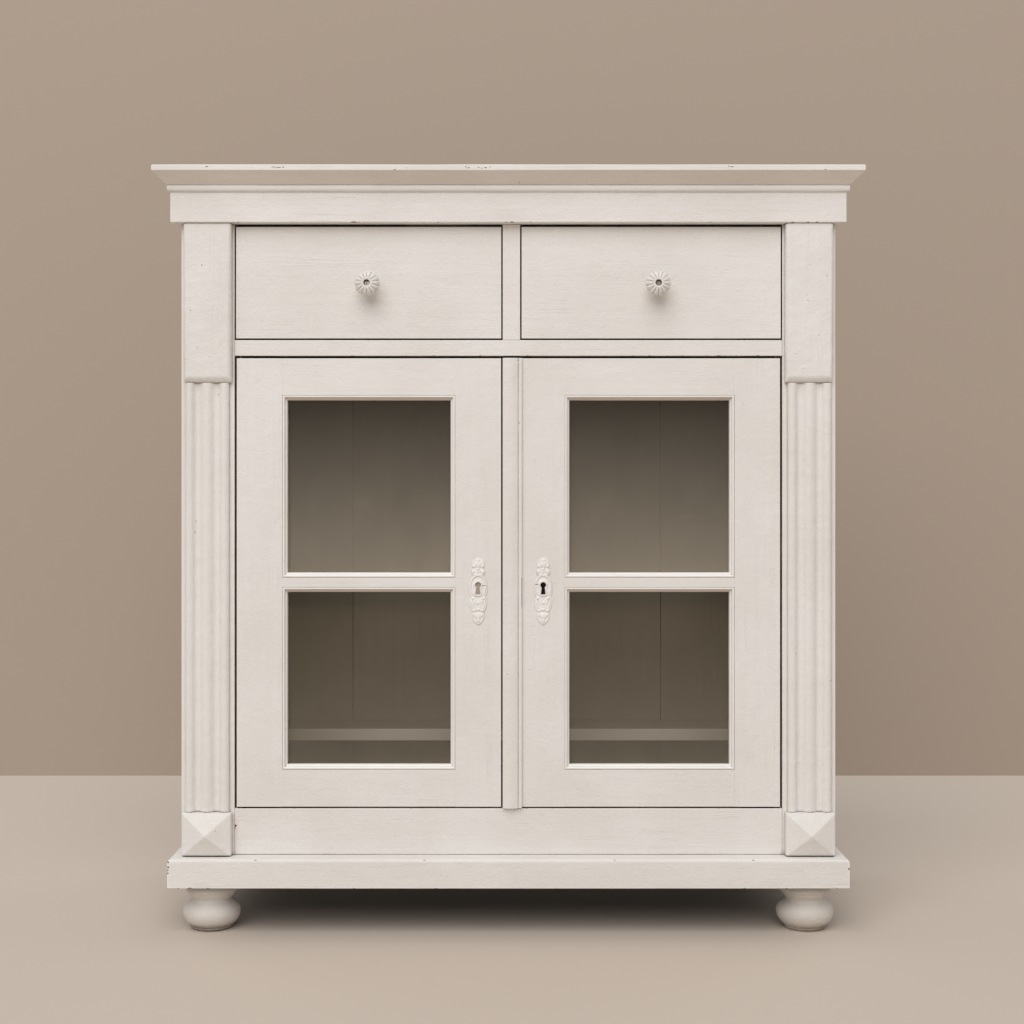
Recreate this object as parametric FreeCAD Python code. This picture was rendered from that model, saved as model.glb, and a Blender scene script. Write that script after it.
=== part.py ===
"""Half-height glazed cabinet: two drawers over two glazed doors, on a plinth with turned feet.

Every piece is modelled at the bench with the front of the face frame in the plane y = 0, the floor at
z = 0 and the cabinet's centre line at x = 0.  place() then moves it so that the origin is the centre of
the whole cabinet's footprint.  Millimetres, +Z up, the front faces -Y.
"""
import FreeCAD, Part
import math
import os

V = FreeCAD.Vector

# ---------------------------------------------------------------- driving dimensions
carcass_width = 948.0
carcass_depth = 390.0          # face frame front to the wall side
board = 20.0                   # side panels and the cabinet floor
frame_depth = 22.0             # stiles, rails, divider and apron, front to back
back_thickness = 12.0
back_rebate = 10.0             # how far the back boards lap into each side panel
back_board_width = 260.3
back_middle_joint = -2.8        # from the centre line
back_joint = 1.2               # open joint between two back boards

foot_height = 68.5
foot_inset = 54.0              # foot centre from the plinth's outer faces
foot_bun_radius = 41.6
foot_tenon_radius = 13.0
foot_tenon_length = 30.0
plinth_height = 42.0
plinth_board_width = 100.0
plinth_projection = 30.0       # in front of the face frame
plinth_overhang = 14.0         # beyond each side panel
plinth_edge_radius = 5.0
apron_height = 67.0

door_opening_height = 656.0
mid_rail_height = 23.0
drawer_opening_height = 167.7
stile_width = 77.0             # face frame stile
divider_width = 25.4
divider_offset = 4.4           # the divider stands a little right of the centre line
partition_thickness = 19.0

frieze_height = 43.5
frieze_projection = 16.0
frieze_overhang = 12.5
bead_height = 10.0
bead_projection = 4.5          # beyond the frieze
crown_height = 25.5
crown_fillet = 9.0             # upright edge at the top of the crown
crown_run = 18.0               # how far the bevel reaches beyond the bead
crown_back = 40.0              # width of the crown moulding on top
crown_edge_radius = 2.0

head_width = 69.0
head_height = 229.7
head_projection = 13.0
head_edge_radius = 4.0
pilaster_reveal = 3.0          # bare stile between the opening and the pilaster
shaft_width = 64.0
shaft_ground = 2.0             # thickness of the shaft under its hollows
shaft_setback = 1.0            # from the head's outer edge
reed_outer_width = 13.5
reed_centre_width = 18.0
reed_height = 6.0
diamond_width = 71.0
diamond_height = 62.5
diamond_block_depth = 14.0
diamond_point = 13.0

door_thickness = 24.0
door_gap_hinge = 3.0
door_gap_top = 3.5
door_gap_bottom = 2.5
door_gap_meeting = 2.4
door_edge_radius = 1.0
hinge_stile_width = 66.0
lock_stile_width = 62.3        # the part that shows on either door
left_stile_extra = 4.0         # the left door's lock stile is a little wider
door_rail_height = 53.5
muntin_height = 14.0
moulding_width = 7.0
moulding_depth = 13.0
moulding_quirk = 1.2           # depth of the sunk line before each of its two rounds
moulding_waist = 0.55          # where the second round starts, as a share of the width
glass_thickness = 3.0
glass_play = 0.6               # between a pane's edge and its frame
bead_width = 7.0               # loose bead that holds a pane from behind
astragal_width = 27.6
astragal_flat = 5.0            # narrow strip beside the rounded face
astragal_thickness = 8.0
astragal_strip_thickness = 5.0
astragal_drop = 1.5            # below the door

pivot_offset = 5.5             # hinge axis from the door's front face and from its outer edge
pivot_radius = 2.5
pivot_play = 0.05              # radial
pivot_plate_length = 55.0
pivot_plate_width = 9.0
pivot_plate_inset = 1.5        # behind the door's front face
pivot_plate_thickness = 2.5
pivot_collar_radius = 4.0
running_play = 0.3

drawer_side_play = 2.0
drawer_gap_top = 3.5
drawer_gap_bottom = 2.3
drawer_box_depth = 335.0
drawer_side_height = 150.0
drawer_side_thickness = 12.0
drawer_bottom_thickness = 7.0
drawer_bottom_rise = 9.0       # bottom panel above the sides' lower edge
drawer_groove = 5.0
dovetail_count = 4
dovetail_lap = 14.0            # how deep the tails reach into the front
dovetail_splay = 3.0
dust_board_thickness = 14.0
runner_width = 20.0
guide_height = 31.0
kicker_height = 20.0
kicker_play = 1.2
stop_width = 40.0
stop_depth = 25.0
stop_height = 15.5

knob_radius = 18.3
knob_length = 34.0
knob_core = 6.0                # centre of the knob's rounded side from its axis
knob_stem_radius = 7.5
knob_flutes = 14
knob_flute_depth = 1.8
knob_hole_radius = 4.3
knob_hole_depth = 9.0
knob_drop = 4.5                # below the middle of the drawer front
right_knob_shift = 7.7         # the right knob sits right of its drawer's middle
screw_radius = 2.0
screw_head_radius = 3.7
screw_head_height = 3.0
screw_length = 40.0
screw_slot = 1.2               # wide and deep
screw_play = 0.15              # in the knob's bore

shelf_depth = 99.0
shelf_thickness = 19.5
shelf_rise = 57.0              # underside above the cabinet floor
cleat_width = 20.0
floor_drop = 2.0               # cabinet floor below the apron's top
door_stop_size = 12.0

escutcheon_thickness = 4.0
escutcheon_height = 98.0
escutcheon_drop = 12.5         # its centre below the middle of the door
keyhole_radius = 4.0
keyhole_rise = 8.9             # centre of its round head above the plate's middle
keyhole_reach = 13.8           # from that centre down to its foot
keyhole_neck = 1.8             # half the foot's width where it leaves the head
keyhole_foot = 3.4             # half its width at the bottom
dummy_hole_depth = 2.0         # the left plate's hole, blind
lock_case_height = 62.0
lock_case_depth = 13.0
lock_wall = 1.5
bolt_height = 22.0
bolt_thickness = 7.0
bolt_length = 42.0
bolt_throw = 9.0
strike_height = 46.0
strike_width = 14.0
strike_thickness = 2.0
strike_room = 2.0              # behind the shot bolt's end
slide_bolt_width = 12.0
slide_bolt_thickness = 5.0
slide_bolt_length = 90.0
slide_bolt_throw = 12.0
slide_bolt_from_edge = 34.0    # its centre line from the left door's lock edge
slide_grip_from_tail = 12.0
slide_grip_height = 6.0
slide_grip_radius = 3.0
slide_button_radius = 4.0
slide_button_thickness = 3.0
slide_bridge_width = 12.0
slide_end_play = 2.0           # between the grip and the bridge when the bolt is shot
slide_plate_thickness = 1.5

# ---------------------------------------------------------------- worked out from them
half_carcass = carcass_width / 2
half_opening = half_carcass - stile_width
inner_half = half_carcass - board
back_face = carcass_depth - back_thickness

plinth_top = foot_height + plinth_height
apron_top = plinth_top + apron_height
mid_rail_bottom = apron_top + door_opening_height
mid_rail_top = mid_rail_bottom + mid_rail_height
frieze_bottom = mid_rail_top + drawer_opening_height
frieze_top = frieze_bottom + frieze_height
crown_bottom = frieze_top + bead_height
crown_top = crown_bottom + crown_height

frieze_half = half_carcass + frieze_overhang
bead_half = frieze_half + bead_projection
bead_front = frieze_projection + bead_projection
crown_half = bead_half + crown_run
crown_front = bead_front + crown_run
plinth_half = half_carcass + plinth_overhang

footprint_shift = (crown_front - carcass_depth) / 2

divider_left = divider_offset - divider_width / 2
divider_right = divider_offset + divider_width / 2
partition_left = divider_offset - partition_thickness / 2
partition_right = divider_offset + partition_thickness / 2

cabinet_floor = apron_top - floor_drop
door_bottom = apron_top + door_gap_bottom
door_top = mid_rail_bottom - door_gap_top
door_outer = half_opening - door_gap_hinge
right_door_edge = divider_left
left_door_edge = right_door_edge - door_gap_meeting
pivot_x = door_outer - pivot_offset

drawer_bottom = mid_rail_top + drawer_gap_bottom
drawer_top = frieze_bottom - drawer_gap_top
dust_board_top = mid_rail_bottom + dust_board_thickness
drawer_front_thickness = frame_depth - running_play

parts = {}


def box(x0, x1, y0, y1, z0, z1):
    """A board between two corners."""
    low = V(min(x0, x1), min(y0, y1), min(z0, z1))
    return Part.makeBox(abs(x1 - x0), abs(y1 - y0), abs(z1 - z0), low)


def prism(points, along):
    """A straight-sided outline pushed along a direction."""
    wire = Part.makePolygon(list(points) + [points[0]])
    return Part.Face(wire).extrude(along)


def moulded(edges, along):
    """An outline with curved edges pushed along a direction."""
    return Part.Face(Part.Wire(edges)).extrude(along)


def line(a, b):
    return Part.LineSegment(a, b).toShape()


def arc(a, middle, b):
    return Part.Arc(a, middle, b).toShape()


def place(name, *solids):
    """Move a piece to the cabinet's frame and keep it under its name."""
    shape = solids[0] if len(solids) == 1 else Part.makeCompound(list(solids))
    shape = shape.copy()
    shape.translate(V(0, footprint_shift, 0))
    parts[name] = shape


def mirrored(shape):
    return shape.mirror(V(0, 0, 0), V(1, 0, 0))


# ---------------------------------------------------------------- mitred mouldings round three sides
def three_sides(outline, half, front):
    """A moulding round the front and both sides, mitred at the front corners.

    outline(run) gives the section's edges at the front's left end, outward measured along -Y from
    y = 0, and pushes them by run.  half and front are the moulding's reach beyond x = 0 and y = 0.
    """
    reach = half + front + carcass_depth
    front_piece = outline(V(2 * half, 0, 0))
    wedge = [V(-half, -front, 0), V(half, -front, 0), V(half - reach, reach - front, 0)]
    wedge.append(V(-half + reach, reach - front, 0))
    left_cut = [V(-half, -front, 0), V(-half + reach, reach - front, 0), V(-half, reach - front, 0)]
    front_keep = prism(wedge[:2] + [V(0, half - front, 0)], V(0, 0, crown_top))
    side = outline(V(carcass_depth + front, 0, 0))
    side.rotate(V(-half, -front, 0), V(0, 0, 1), -90)
    side.translate(V(0, carcass_depth + front, 0))
    left_keep = prism(left_cut, V(0, 0, crown_top))
    left_piece = side.common(left_keep)
    return front_piece.common(front_keep), left_piece, mirrored(left_piece)


def frieze_section(run):
    corner = V(-frieze_half, -frieze_projection, frieze_bottom)
    up = V(0, 0, frieze_height)
    back = V(0, frieze_projection, 0)
    return prism([corner, corner + back, corner + back + up, corner + up], run)


def bead_section(run):
    back = V(-bead_half, 0, frieze_top)
    nose = V(-bead_half, -bead_front, frieze_top + bead_height / 2)
    lower = V(-bead_half, -bead_front + bead_height / 2, frieze_top)
    upper = lower + V(0, 0, bead_height)
    back_upper = back + V(0, 0, bead_height)
    edges = [arc(lower, nose, upper), line(upper, back_upper), line(back_upper, back), line(back, lower)]
    return moulded(edges, run)


def crown_section(run):
    front = -crown_front
    rise = crown_height - crown_fillet
    toe = V(-crown_half, front + crown_run, crown_bottom)
    lip = V(-crown_half, front, crown_bottom + rise)
    lip_top = V(-crown_half, front, crown_top - crown_edge_radius)
    nose = lip_top + V(0, crown_edge_radius * (1 - math.sqrt(0.5)), crown_edge_radius * math.sqrt(0.5))
    top = V(-crown_half, front + crown_edge_radius, crown_top)
    heel_top = V(-crown_half, front + crown_back, crown_top)
    heel = V(-crown_half, front + crown_back, crown_bottom)
    edges = [line(toe, lip), line(lip, lip_top), arc(lip_top, nose, top), line(top, heel_top)]
    edges += [line(heel_top, heel), line(heel, toe)]
    return moulded(edges, run)


def cornice():
    front, left, right = three_sides(frieze_section, frieze_half, frieze_projection)
    trim = box(-half_carcass, half_carcass, 0, carcass_depth, frieze_bottom, crown_bottom)
    place("frieze", front, left.cut(trim), right.cut(trim))
    front, left, right = three_sides(bead_section, bead_half, bead_front)
    place("bead_moulding", front, left.cut(trim), right.cut(trim))
    place("crown_moulding", *three_sides(crown_section, crown_half, crown_front))
    inner = crown_half - crown_back
    top = box(-inner, inner, crown_back - crown_front, carcass_depth, crown_bottom, crown_top)
    place("top_board", top)


cornice()


# ---------------------------------------------------------------- carcass
def side_panel():
    """The left side panel, rebated at its rear inner edge for the back boards."""
    panel = box(-half_carcass, -inner_half, frame_depth, carcass_depth, plinth_top, crown_bottom)
    rebate = box(-inner_half - back_rebate, -inner_half, back_face, carcass_depth, plinth_top, crown_bottom)
    return panel.cut(rebate)


def carcass():
    panel = side_panel()
    place("side_panel_left", panel)
    place("side_panel_right", mirrored(panel))
    stile = box(-half_carcass, -half_opening, 0, frame_depth, plinth_top, crown_bottom)
    place("face_stiles", stile, mirrored(stile))
    place("top_rail", box(-half_opening, half_opening, 0, frame_depth, frieze_bottom, crown_bottom))
    divider = box(divider_left, divider_right, 0, frame_depth, mid_rail_top, frieze_bottom)
    place("drawer_divider", divider)
    partition = box(partition_left, partition_right, frame_depth, back_face, dust_board_top, crown_bottom)
    place("drawer_partition", partition)


carcass()


def back_boards():
    """Upright boards from the two joints in the middle out to the rebates."""
    edge = inner_half + back_rebate
    middle = back_middle_joint
    joints = [-edge, middle - back_board_width, middle, middle + back_board_width, edge]
    boards = []
    for left, right in zip(joints[:-1], joints[1:]):
        x0 = left + (0 if left == joints[0] else back_joint / 2)
        x1 = right - (0 if right == joints[-1] else back_joint / 2)
        boards.append(box(x0, x1, back_face, carcass_depth, plinth_top, crown_bottom))
    place("back_boards", *boards)


back_boards()


# ---------------------------------------------------------------- hinge pivots
def plate_outline(side, z0, z1):
    """A pivot plate's blank: side is -1 for the left door and 1 for the right."""
    outer = side * (pivot_x + pivot_plate_width / 2)
    inner = side * (pivot_x + pivot_plate_width / 2 - pivot_plate_length)
    return box(outer, inner, pivot_plate_inset, pivot_plate_inset + pivot_plate_width, z0, z1)


def pivot_pin(side, radius, z0, z1):
    return Part.makeCylinder(radius, z1 - z0, V(side * pivot_x, pivot_offset, z0))


def door_plates(side):
    """Top and bottom plates let into the door's edges, each with its pin."""
    reach = pivot_plate_thickness - running_play
    top = plate_outline(side, door_top - pivot_plate_thickness, door_top)
    top = top.fuse(pivot_pin(side, pivot_radius, door_top, mid_rail_bottom + reach)).removeSplitter()
    bottom = plate_outline(side, door_bottom, door_bottom + pivot_plate_thickness)
    collar = pivot_pin(side, pivot_collar_radius, apron_top + running_play, door_bottom)
    pin = pivot_pin(side, pivot_radius, apron_top - reach, door_bottom)
    bottom = bottom.fuse(collar).fuse(pin).removeSplitter()
    return top, bottom


def socket_blanks(side):
    upper = plate_outline(side, mid_rail_bottom, mid_rail_bottom + pivot_plate_thickness)
    lower = plate_outline(side, apron_top - pivot_plate_thickness, apron_top)
    return upper, lower


def keep_in_opening(shape):
    """Trim a plate where the stile's edge stands."""
    return shape.common(box(-half_opening, half_opening, 0, frame_depth, 0, crown_top))


sockets = []
socket_recesses = []
for door_side in (-1, 1):
    for blank in socket_blanks(door_side):
        blank = keep_in_opening(blank)
        socket_recesses.append(blank)
        hole = pivot_pin(door_side, pivot_radius + pivot_play, 0, crown_top)
        sockets.append(blank.cut(hole))
place("pivot_sockets", *sockets)


# ---------------------------------------------------------------- left door's slide bolts, in place
bolt_x = left_door_edge - slide_bolt_from_edge
bolt_back = door_thickness + slide_plate_thickness


def slide_bolt(upper):
    """A flat bolt with a finger knob, drawn back so that its tip is flush with the door's end."""
    half = slide_bolt_width / 2
    tip = door_top if upper else door_bottom
    tail = tip - slide_bolt_length if upper else tip + slide_bolt_length
    bar = box(bolt_x - half, bolt_x + half, bolt_back, bolt_back + slide_bolt_thickness, tip, tail)
    grip_z = tail + slide_grip_from_tail * (1 if upper else -1)
    foot = V(bolt_x, bolt_back + slide_bolt_thickness, grip_z)
    grip = Part.makeCylinder(slide_grip_radius, slide_grip_height, foot, V(0, 1, 0))
    neck = foot + V(0, slide_grip_height, 0)
    button = Part.makeCylinder(slide_button_radius, slide_button_thickness, neck, V(0, 1, 0))
    return bar.fuse(grip).fuse(button).removeSplitter()


def bolt_keeper(upper):
    """The bolt's back plate with two bridges that it runs through."""
    half = slide_bolt_width / 2 + running_play
    wall = slide_plate_thickness
    sign = -1 if upper else 1
    end = (door_top if upper else door_bottom) + sign * slide_bolt_throw
    plate_half = slide_bolt_width
    grip_reach = slide_grip_from_tail + max(slide_grip_radius, slide_button_radius) + slide_end_play
    far = end + sign * (slide_bolt_length - 2 * slide_bolt_throw - grip_reach)
    y0 = bolt_back - running_play
    keeper = box(bolt_x - plate_half, bolt_x + plate_half, door_thickness, y0, end, far)
    bridge_depth = slide_bolt_thickness + 2 * running_play + wall
    for start in (end, far - sign * slide_bridge_width):
        stop = start + sign * slide_bridge_width
        outer = box(bolt_x - half - wall, bolt_x + half + wall, y0, y0 + bridge_depth, start, stop)
        inner = box(bolt_x - half, bolt_x + half, y0, y0 + bridge_depth - wall, start, stop)
        keeper = keeper.fuse(outer.cut(inner))
    return keeper.removeSplitter()


def bolt_slot(z0, z1):
    """The mortise that a slide bolt's tip enters."""
    half = slide_bolt_width / 2 + running_play
    y0 = bolt_back - running_play
    return box(bolt_x - half, bolt_x + half, y0, y0 + slide_bolt_thickness + 2 * running_play, z0, z1)


# ---------------------------------------------------------------- rails, floor, dust board, door stops
def rails_and_boards():
    apron = box(-half_opening, half_opening, 0, frame_depth, plinth_top, apron_top)
    mid_rail = box(-half_opening, half_opening, 0, frame_depth, mid_rail_bottom, mid_rail_top)
    for recess in socket_recesses:
        apron = apron.cut(recess)
        mid_rail = mid_rail.cut(recess)
    place("apron", apron)
    place("mid_rail", mid_rail)
    dust = box(-inner_half, inner_half, frame_depth, back_face, mid_rail_bottom, dust_board_top)
    place("dust_board", dust.cut(bolt_slot(mid_rail_bottom, dust_board_top)))
    floor = box(-inner_half, inner_half, frame_depth, back_face, cabinet_floor - board, cabinet_floor)
    place("bottom_board", floor.cut(bolt_slot(cabinet_floor - board, cabinet_floor)))


rails_and_boards()


def door_stops():
    """Strips under the dust board and on the floor that the doors close against."""
    y0 = door_thickness + running_play
    clear = pivot_plate_length / 2
    spans = [(-half_opening + clear, bolt_x - 2 * slide_bolt_width),
             (right_door_edge + astragal_width, half_opening - clear)]
    strips = []
    for x0, x1 in spans:
        top_z = mid_rail_bottom - door_gap_top - door_stop_size
        strips.append(box(x0, x1, y0, y0 + door_stop_size, top_z, mid_rail_bottom))
        low_z = door_bottom + door_stop_size
        strips.append(box(x0, x1, y0, y0 + door_stop_size, cabinet_floor, low_z))
    place("door_stops", *strips)


door_stops()


def shelf():
    z0 = cabinet_floor + shelf_rise
    place("plate_shelf", box(-inner_half, inner_half, back_face - shelf_depth, back_face, z0,
                             z0 + shelf_thickness))
    cleat = box(-inner_half, -inner_half + cleat_width, back_face - shelf_depth + cleat_width, back_face,
                z0 - cleat_width, z0)
    place("shelf_cleats", cleat, mirrored(cleat))


shelf()


# ---------------------------------------------------------------- pilasters
head_outer = half_opening + pilaster_reveal + head_width
head_bottom = frieze_bottom - head_height
diamond_top = plinth_top + diamond_height


def head_block():
    """The plain block under the frieze, its front edges rounded over."""
    block = box(-head_outer, -head_outer + head_width, -head_projection, 0, head_bottom, frieze_bottom)
    edges = []
    for edge in block.Edges:
        centre = edge.CenterOfMass
        on_front = abs(centre.y + head_projection) < 0.01
        upper = abs(centre.z - frieze_bottom) < 0.01
        if on_front and not upper:
            edges.append(edge)
    return block.makeFillet(min(head_edge_radius, head_projection * 0.9), edges)


def shaft():
    """Three upright reeds with a hollow between each two, cut from one board."""
    outer = -head_outer + shaft_setback
    hollow = (shaft_width - 2 * reed_outer_width - reed_centre_width) / 2
    top = -shaft_ground - reed_height
    valley = -shaft_ground - reed_height / 4
    widths = [(reed_outer_width, True), (hollow, False), (reed_centre_width, True), (hollow, False),
              (reed_outer_width, True)]
    edges = []
    x = outer
    for width, raised in widths:
        start = V(x, valley, diamond_top)
        end = V(x + width, valley, diamond_top)
        middle_y = top if raised else -shaft_ground
        edges.append(arc(start, V(x + width / 2, middle_y, diamond_top), end))
        x += width
    edges.append(line(end, V(x, 0, diamond_top)))
    edges.append(line(V(x, 0, diamond_top), V(outer, 0, diamond_top)))
    edges.append(line(V(outer, 0, diamond_top), V(outer, valley, diamond_top)))
    return moulded(edges, V(0, 0, head_bottom - diamond_top))


def diamond_block():
    """A square block with a four-sided point on its face."""
    x1 = -half_opening - pilaster_reveal
    x0 = x1 - diamond_width
    face = -diamond_block_depth
    block = box(x0, x1, face, 0, plinth_top, diamond_top)
    corners = [V(x0, face, plinth_top), V(x1, face, plinth_top), V(x1, face, diamond_top)]
    corners.append(V(x0, face, diamond_top))
    apex = V((x0 + x1) / 2, face - diamond_point, (plinth_top + diamond_top) / 2)
    faces = [Part.Face(Part.makePolygon(corners + corners[:1]))]
    for a, b in zip(corners, corners[1:] + corners[:1]):
        faces.append(Part.Face(Part.makePolygon([a, b, apex, a])))
    point = Part.makeSolid(Part.makeShell(faces))
    return block.fuse(point).removeSplitter()


for label, turn in (("left", lambda piece: piece), ("right", mirrored)):
    place("head_block_" + label, turn(head_block()))
    place("reeded_shaft_" + label, turn(shaft()))
    place("diamond_block_" + label, turn(diamond_block()))


# ---------------------------------------------------------------- plinth and feet
foot_x = plinth_half - foot_inset
foot_front = -plinth_projection + foot_inset
foot_back = carcass_depth - foot_inset


def foot():
    """A turned foot: low base, bun, sunk ring, flared collar and rim, with a round tenon on top."""
    def at(width, rise):
        return V(foot_bun_radius * width, 0, foot_height * rise)
    base = [V(0, 0, 0), at(0.71, 0), at(0.722, 0.04), at(0.745, 0.058)]
    neck = [at(0.72, 0.622), at(0.69, 0.628), at(0.69, 0.65)]
    lip = at(0.89, 0.81)
    rim = [at(0.913, 0.85), at(0.913, 1.0), V(foot_tenon_radius, 0, foot_height)]
    tip = V(foot_tenon_radius, 0, foot_height + foot_tenon_length)
    edges = [line(base[0], base[1]), line(base[1], base[2]), line(base[2], base[3])]
    edges += [arc(base[3], at(1.0, 0.336), neck[0]), line(neck[0], neck[1]), line(neck[1], neck[2])]
    edges += [arc(neck[2], at(0.8, 0.72), lip), line(lip, rim[0]), line(rim[0], rim[1])]
    edges += [line(rim[1], rim[2]), line(rim[2], tip), line(tip, V(0, 0, tip.z))]
    edges.append(line(V(0, 0, tip.z), base[0]))
    return Part.Face(Part.Wire(edges)).revolve(V(0, 0, 0), V(0, 0, 1), 360)


def plinth_and_feet():
    z0 = foot_height
    front = -plinth_projection
    slab = box(-plinth_half, plinth_half, front, carcass_depth, z0, plinth_top)
    edges = []
    for edge in slab.Edges:
        centre = edge.CenterOfMass
        if abs(centre.z - plinth_top) < 0.01 and centre.y < carcass_depth - 0.01:
            edges.append(edge)
    slab = slab.makeFillet(min(plinth_edge_radius, plinth_height * 0.4), edges)
    inner = plinth_half - plinth_board_width
    slab = slab.cut(box(-inner, inner, front + plinth_board_width, carcass_depth - plinth_board_width,
                        z0, plinth_top))
    feet = []
    for x in (-foot_x, foot_x):
        for y in (foot_front, foot_back):
            one = foot()
            one.translate(V(x, y, 0))
            feet.append(one)
            slab = slab.cut(one)
    place("turned_feet", *feet)
    w = plinth_board_width
    mitre = [V(-plinth_half, front, z0), V(plinth_half, front, z0), V(inner, front + w, z0),
             V(-inner, front + w, z0)]
    front_board = slab.common(prism(mitre, V(0, 0, plinth_height)))
    side_mitre = [V(-plinth_half, front, z0), V(-inner, front + w, z0), V(-inner, carcass_depth, z0),
                  V(-plinth_half, carcass_depth, z0)]
    left_board = slab.common(prism(side_mitre, V(0, 0, plinth_height)))
    back_board = slab.common(box(-inner, inner, carcass_depth - w, carcass_depth, z0, plinth_top))
    place("plinth_frame", front_board, left_board, mirrored(left_board), back_board)


plinth_and_feet()


# ---------------------------------------------------------------- glazed doors
def strip_frame(section, x0, x1, z0, z1, width):
    """Four strips of one section mitred round a rectangle; section(start, run, inward) makes a strip."""
    y_deep = door_thickness
    strips = []
    corners = [(x0, z0), (x1, z0), (x1, z1), (x0, z1)]
    inner = [(x0 + width, z0 + width), (x1 - width, z0 + width)]
    inner += [(x1 - width, z1 - width), (x0 + width, z1 - width)]
    for i in range(4):
        j = (i + 1) % 4
        start = V(corners[i][0], 0, corners[i][1])
        end = V(corners[j][0], 0, corners[j][1])
        run = end - start
        inward = V(0, 1, 0).cross(run).multiply(-1 / run.Length)
        outline = [start, end, V(inner[j][0], 0, inner[j][1]), V(inner[i][0], 0, inner[i][1])]
        keep = prism(outline, V(0, y_deep, 0))
        strips.append(section(start, run, inward).common(keep))
    return strips


def moulding_section(start, run, inward):
    """Two small rounds stepping down to the glass, each behind a sunk line."""
    def at(w, depth):
        return start + inward * w + V(0, depth, 0)
    w = moulding_width
    d = moulding_depth
    sunk = moulding_quirk
    waist = w * moulding_waist
    step = sunk + waist / 2
    low = step + sunk + (w - waist)
    first = arc(at(0, sunk), at(waist * 0.45, sunk * 0.2), at(waist, step))
    second = arc(at(waist, step + sunk), at((waist + w) / 2, step + sunk * 1.2), at(w, low))
    edges = [first, line(at(waist, step), at(waist, step + sunk)), second, line(at(w, low), at(w, d))]
    edges += [line(at(w, d), at(0, d)), line(at(0, d), at(0, sunk))]
    return moulded(edges, run)


def bead_strip_section(start, run, inward):
    """A plain splayed bead behind the glass."""
    def at(w, depth):
        return start + inward * w + V(0, depth, 0)
    front = moulding_depth + glass_thickness
    back = door_thickness - 1.0
    corners = [at(0, front), at(bead_width, front), at(bead_width, front + 2.5), at(bead_width / 2, back)]
    return prism(corners + [at(0, back)], run)


escutcheon_z = (door_bottom + door_top) / 2 - escutcheon_drop


def escutcheon_outline(x, y):
    """Keyhole plate: leaf, flower, oval, heart and leaf in one upright outline of round lobes."""
    half = escutcheon_height / 2
    lobes = [((0, 1.0), (0.19, 0.755), (0.16, 0.675)), ((0.16, 0.675), (0.212, 0.59), (0.152, 0.46)),
             ((0.152, 0.46), (0.288, 0.14), (0.222, -0.167)),
             ((0.222, -0.167), (0.262, -0.28), (0.17, -0.62)), ((0.17, -0.62), (0.188, -0.745), (0, -1.0))]
    edges = []
    for sign in (1, -1):
        for lobe in lobes if sign == 1 else reversed(lobes):
            a, m, b = [V(x + sign * w * half, y, escutcheon_z + h * half) for w, h in lobe]
            edges.append(arc(a, m, b) if sign == 1 else arc(b, m, a))
    return edges


def keyhole(x, y, depth):
    """Round head over a foot that widens downwards."""
    top = escutcheon_z + keyhole_rise
    low = top - keyhole_reach
    head = Part.makeCylinder(keyhole_radius, depth, V(x, y, top), V(0, 1, 0))
    points = [V(x - keyhole_neck, y, top), V(x + keyhole_neck, y, top)]
    points += [V(x + keyhole_foot, y, low), V(x - keyhole_foot, y, low)]
    return head.fuse(prism(points, V(0, depth, 0)))


def escutcheon(x, open_hole):
    plate = moulded(escutcheon_outline(x, -escutcheon_thickness), V(0, escutcheon_thickness, 0))
    depth = escutcheon_thickness if open_hole else dummy_hole_depth
    return plate.cut(keyhole(x, -escutcheon_thickness, depth))


def round_edges(leaf, x_edge):
    """Ease the two upright edges of a stile that stand at x_edge."""
    edges = []
    for edge in leaf.Edges:
        box_ = edge.BoundBox
        if box_.ZLength > 1 and abs(box_.XMin - x_edge) < 0.01 and box_.XLength < 0.01:
            edges.append(edge)
    return leaf.makeFillet(door_edge_radius, edges)


def door(side, label, lock_edge, lock_stile):
    """One door: side is -1 for left and 1 for right, lock_edge its free edge, lock_stile its width there."""
    hinge_edge = side * door_outer
    hinge_inner = hinge_edge - side * hinge_stile_width
    lock_inner = lock_edge + side * lock_stile
    hinge_stile = box(hinge_edge, hinge_inner, 0, door_thickness, door_bottom, door_top)
    hinge_stile = round_edges(hinge_stile, hinge_edge)
    locking_stile = box(lock_edge, lock_inner, 0, door_thickness, door_bottom, door_top)
    plates = door_plates(side)
    for plate in plates:
        hinge_stile = hinge_stile.cut(plate)
    x0, x1 = sorted((hinge_inner, lock_inner))
    low_rail_top = door_bottom + door_rail_height
    high_rail_bottom = door_top - door_rail_height
    rails = [box(x0, x1, 0, door_thickness, door_bottom, low_rail_top),
             box(x0, x1, 0, door_thickness, high_rail_bottom, door_top)]
    centre = (door_bottom + door_top) / 2
    bar_low = centre - muntin_height / 2
    bar_high = centre + muntin_height / 2
    rails.append(box(x0, x1, 0, door_thickness, bar_low, bar_high))
    place(label + "_door_rails", *rails)
    mouldings = []
    beads = []
    panes = []
    for z0, z1 in ((low_rail_top, bar_low), (bar_high, high_rail_bottom)):
        mouldings += strip_frame(moulding_section, x0, x1, z0, z1, moulding_width)
        beads += strip_frame(bead_strip_section, x0, x1, z0, z1, bead_width)
        panes.append(box(x0 + glass_play, x1 - glass_play, moulding_depth, moulding_depth + glass_thickness,
                         z0 + glass_play, z1 - glass_play))
    place(label + "_door_mouldings", *mouldings, *beads)
    place(label + "_door_panes", *panes)
    place(label + "_door_pivots", *plates)
    return hinge_stile, locking_stile


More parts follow.
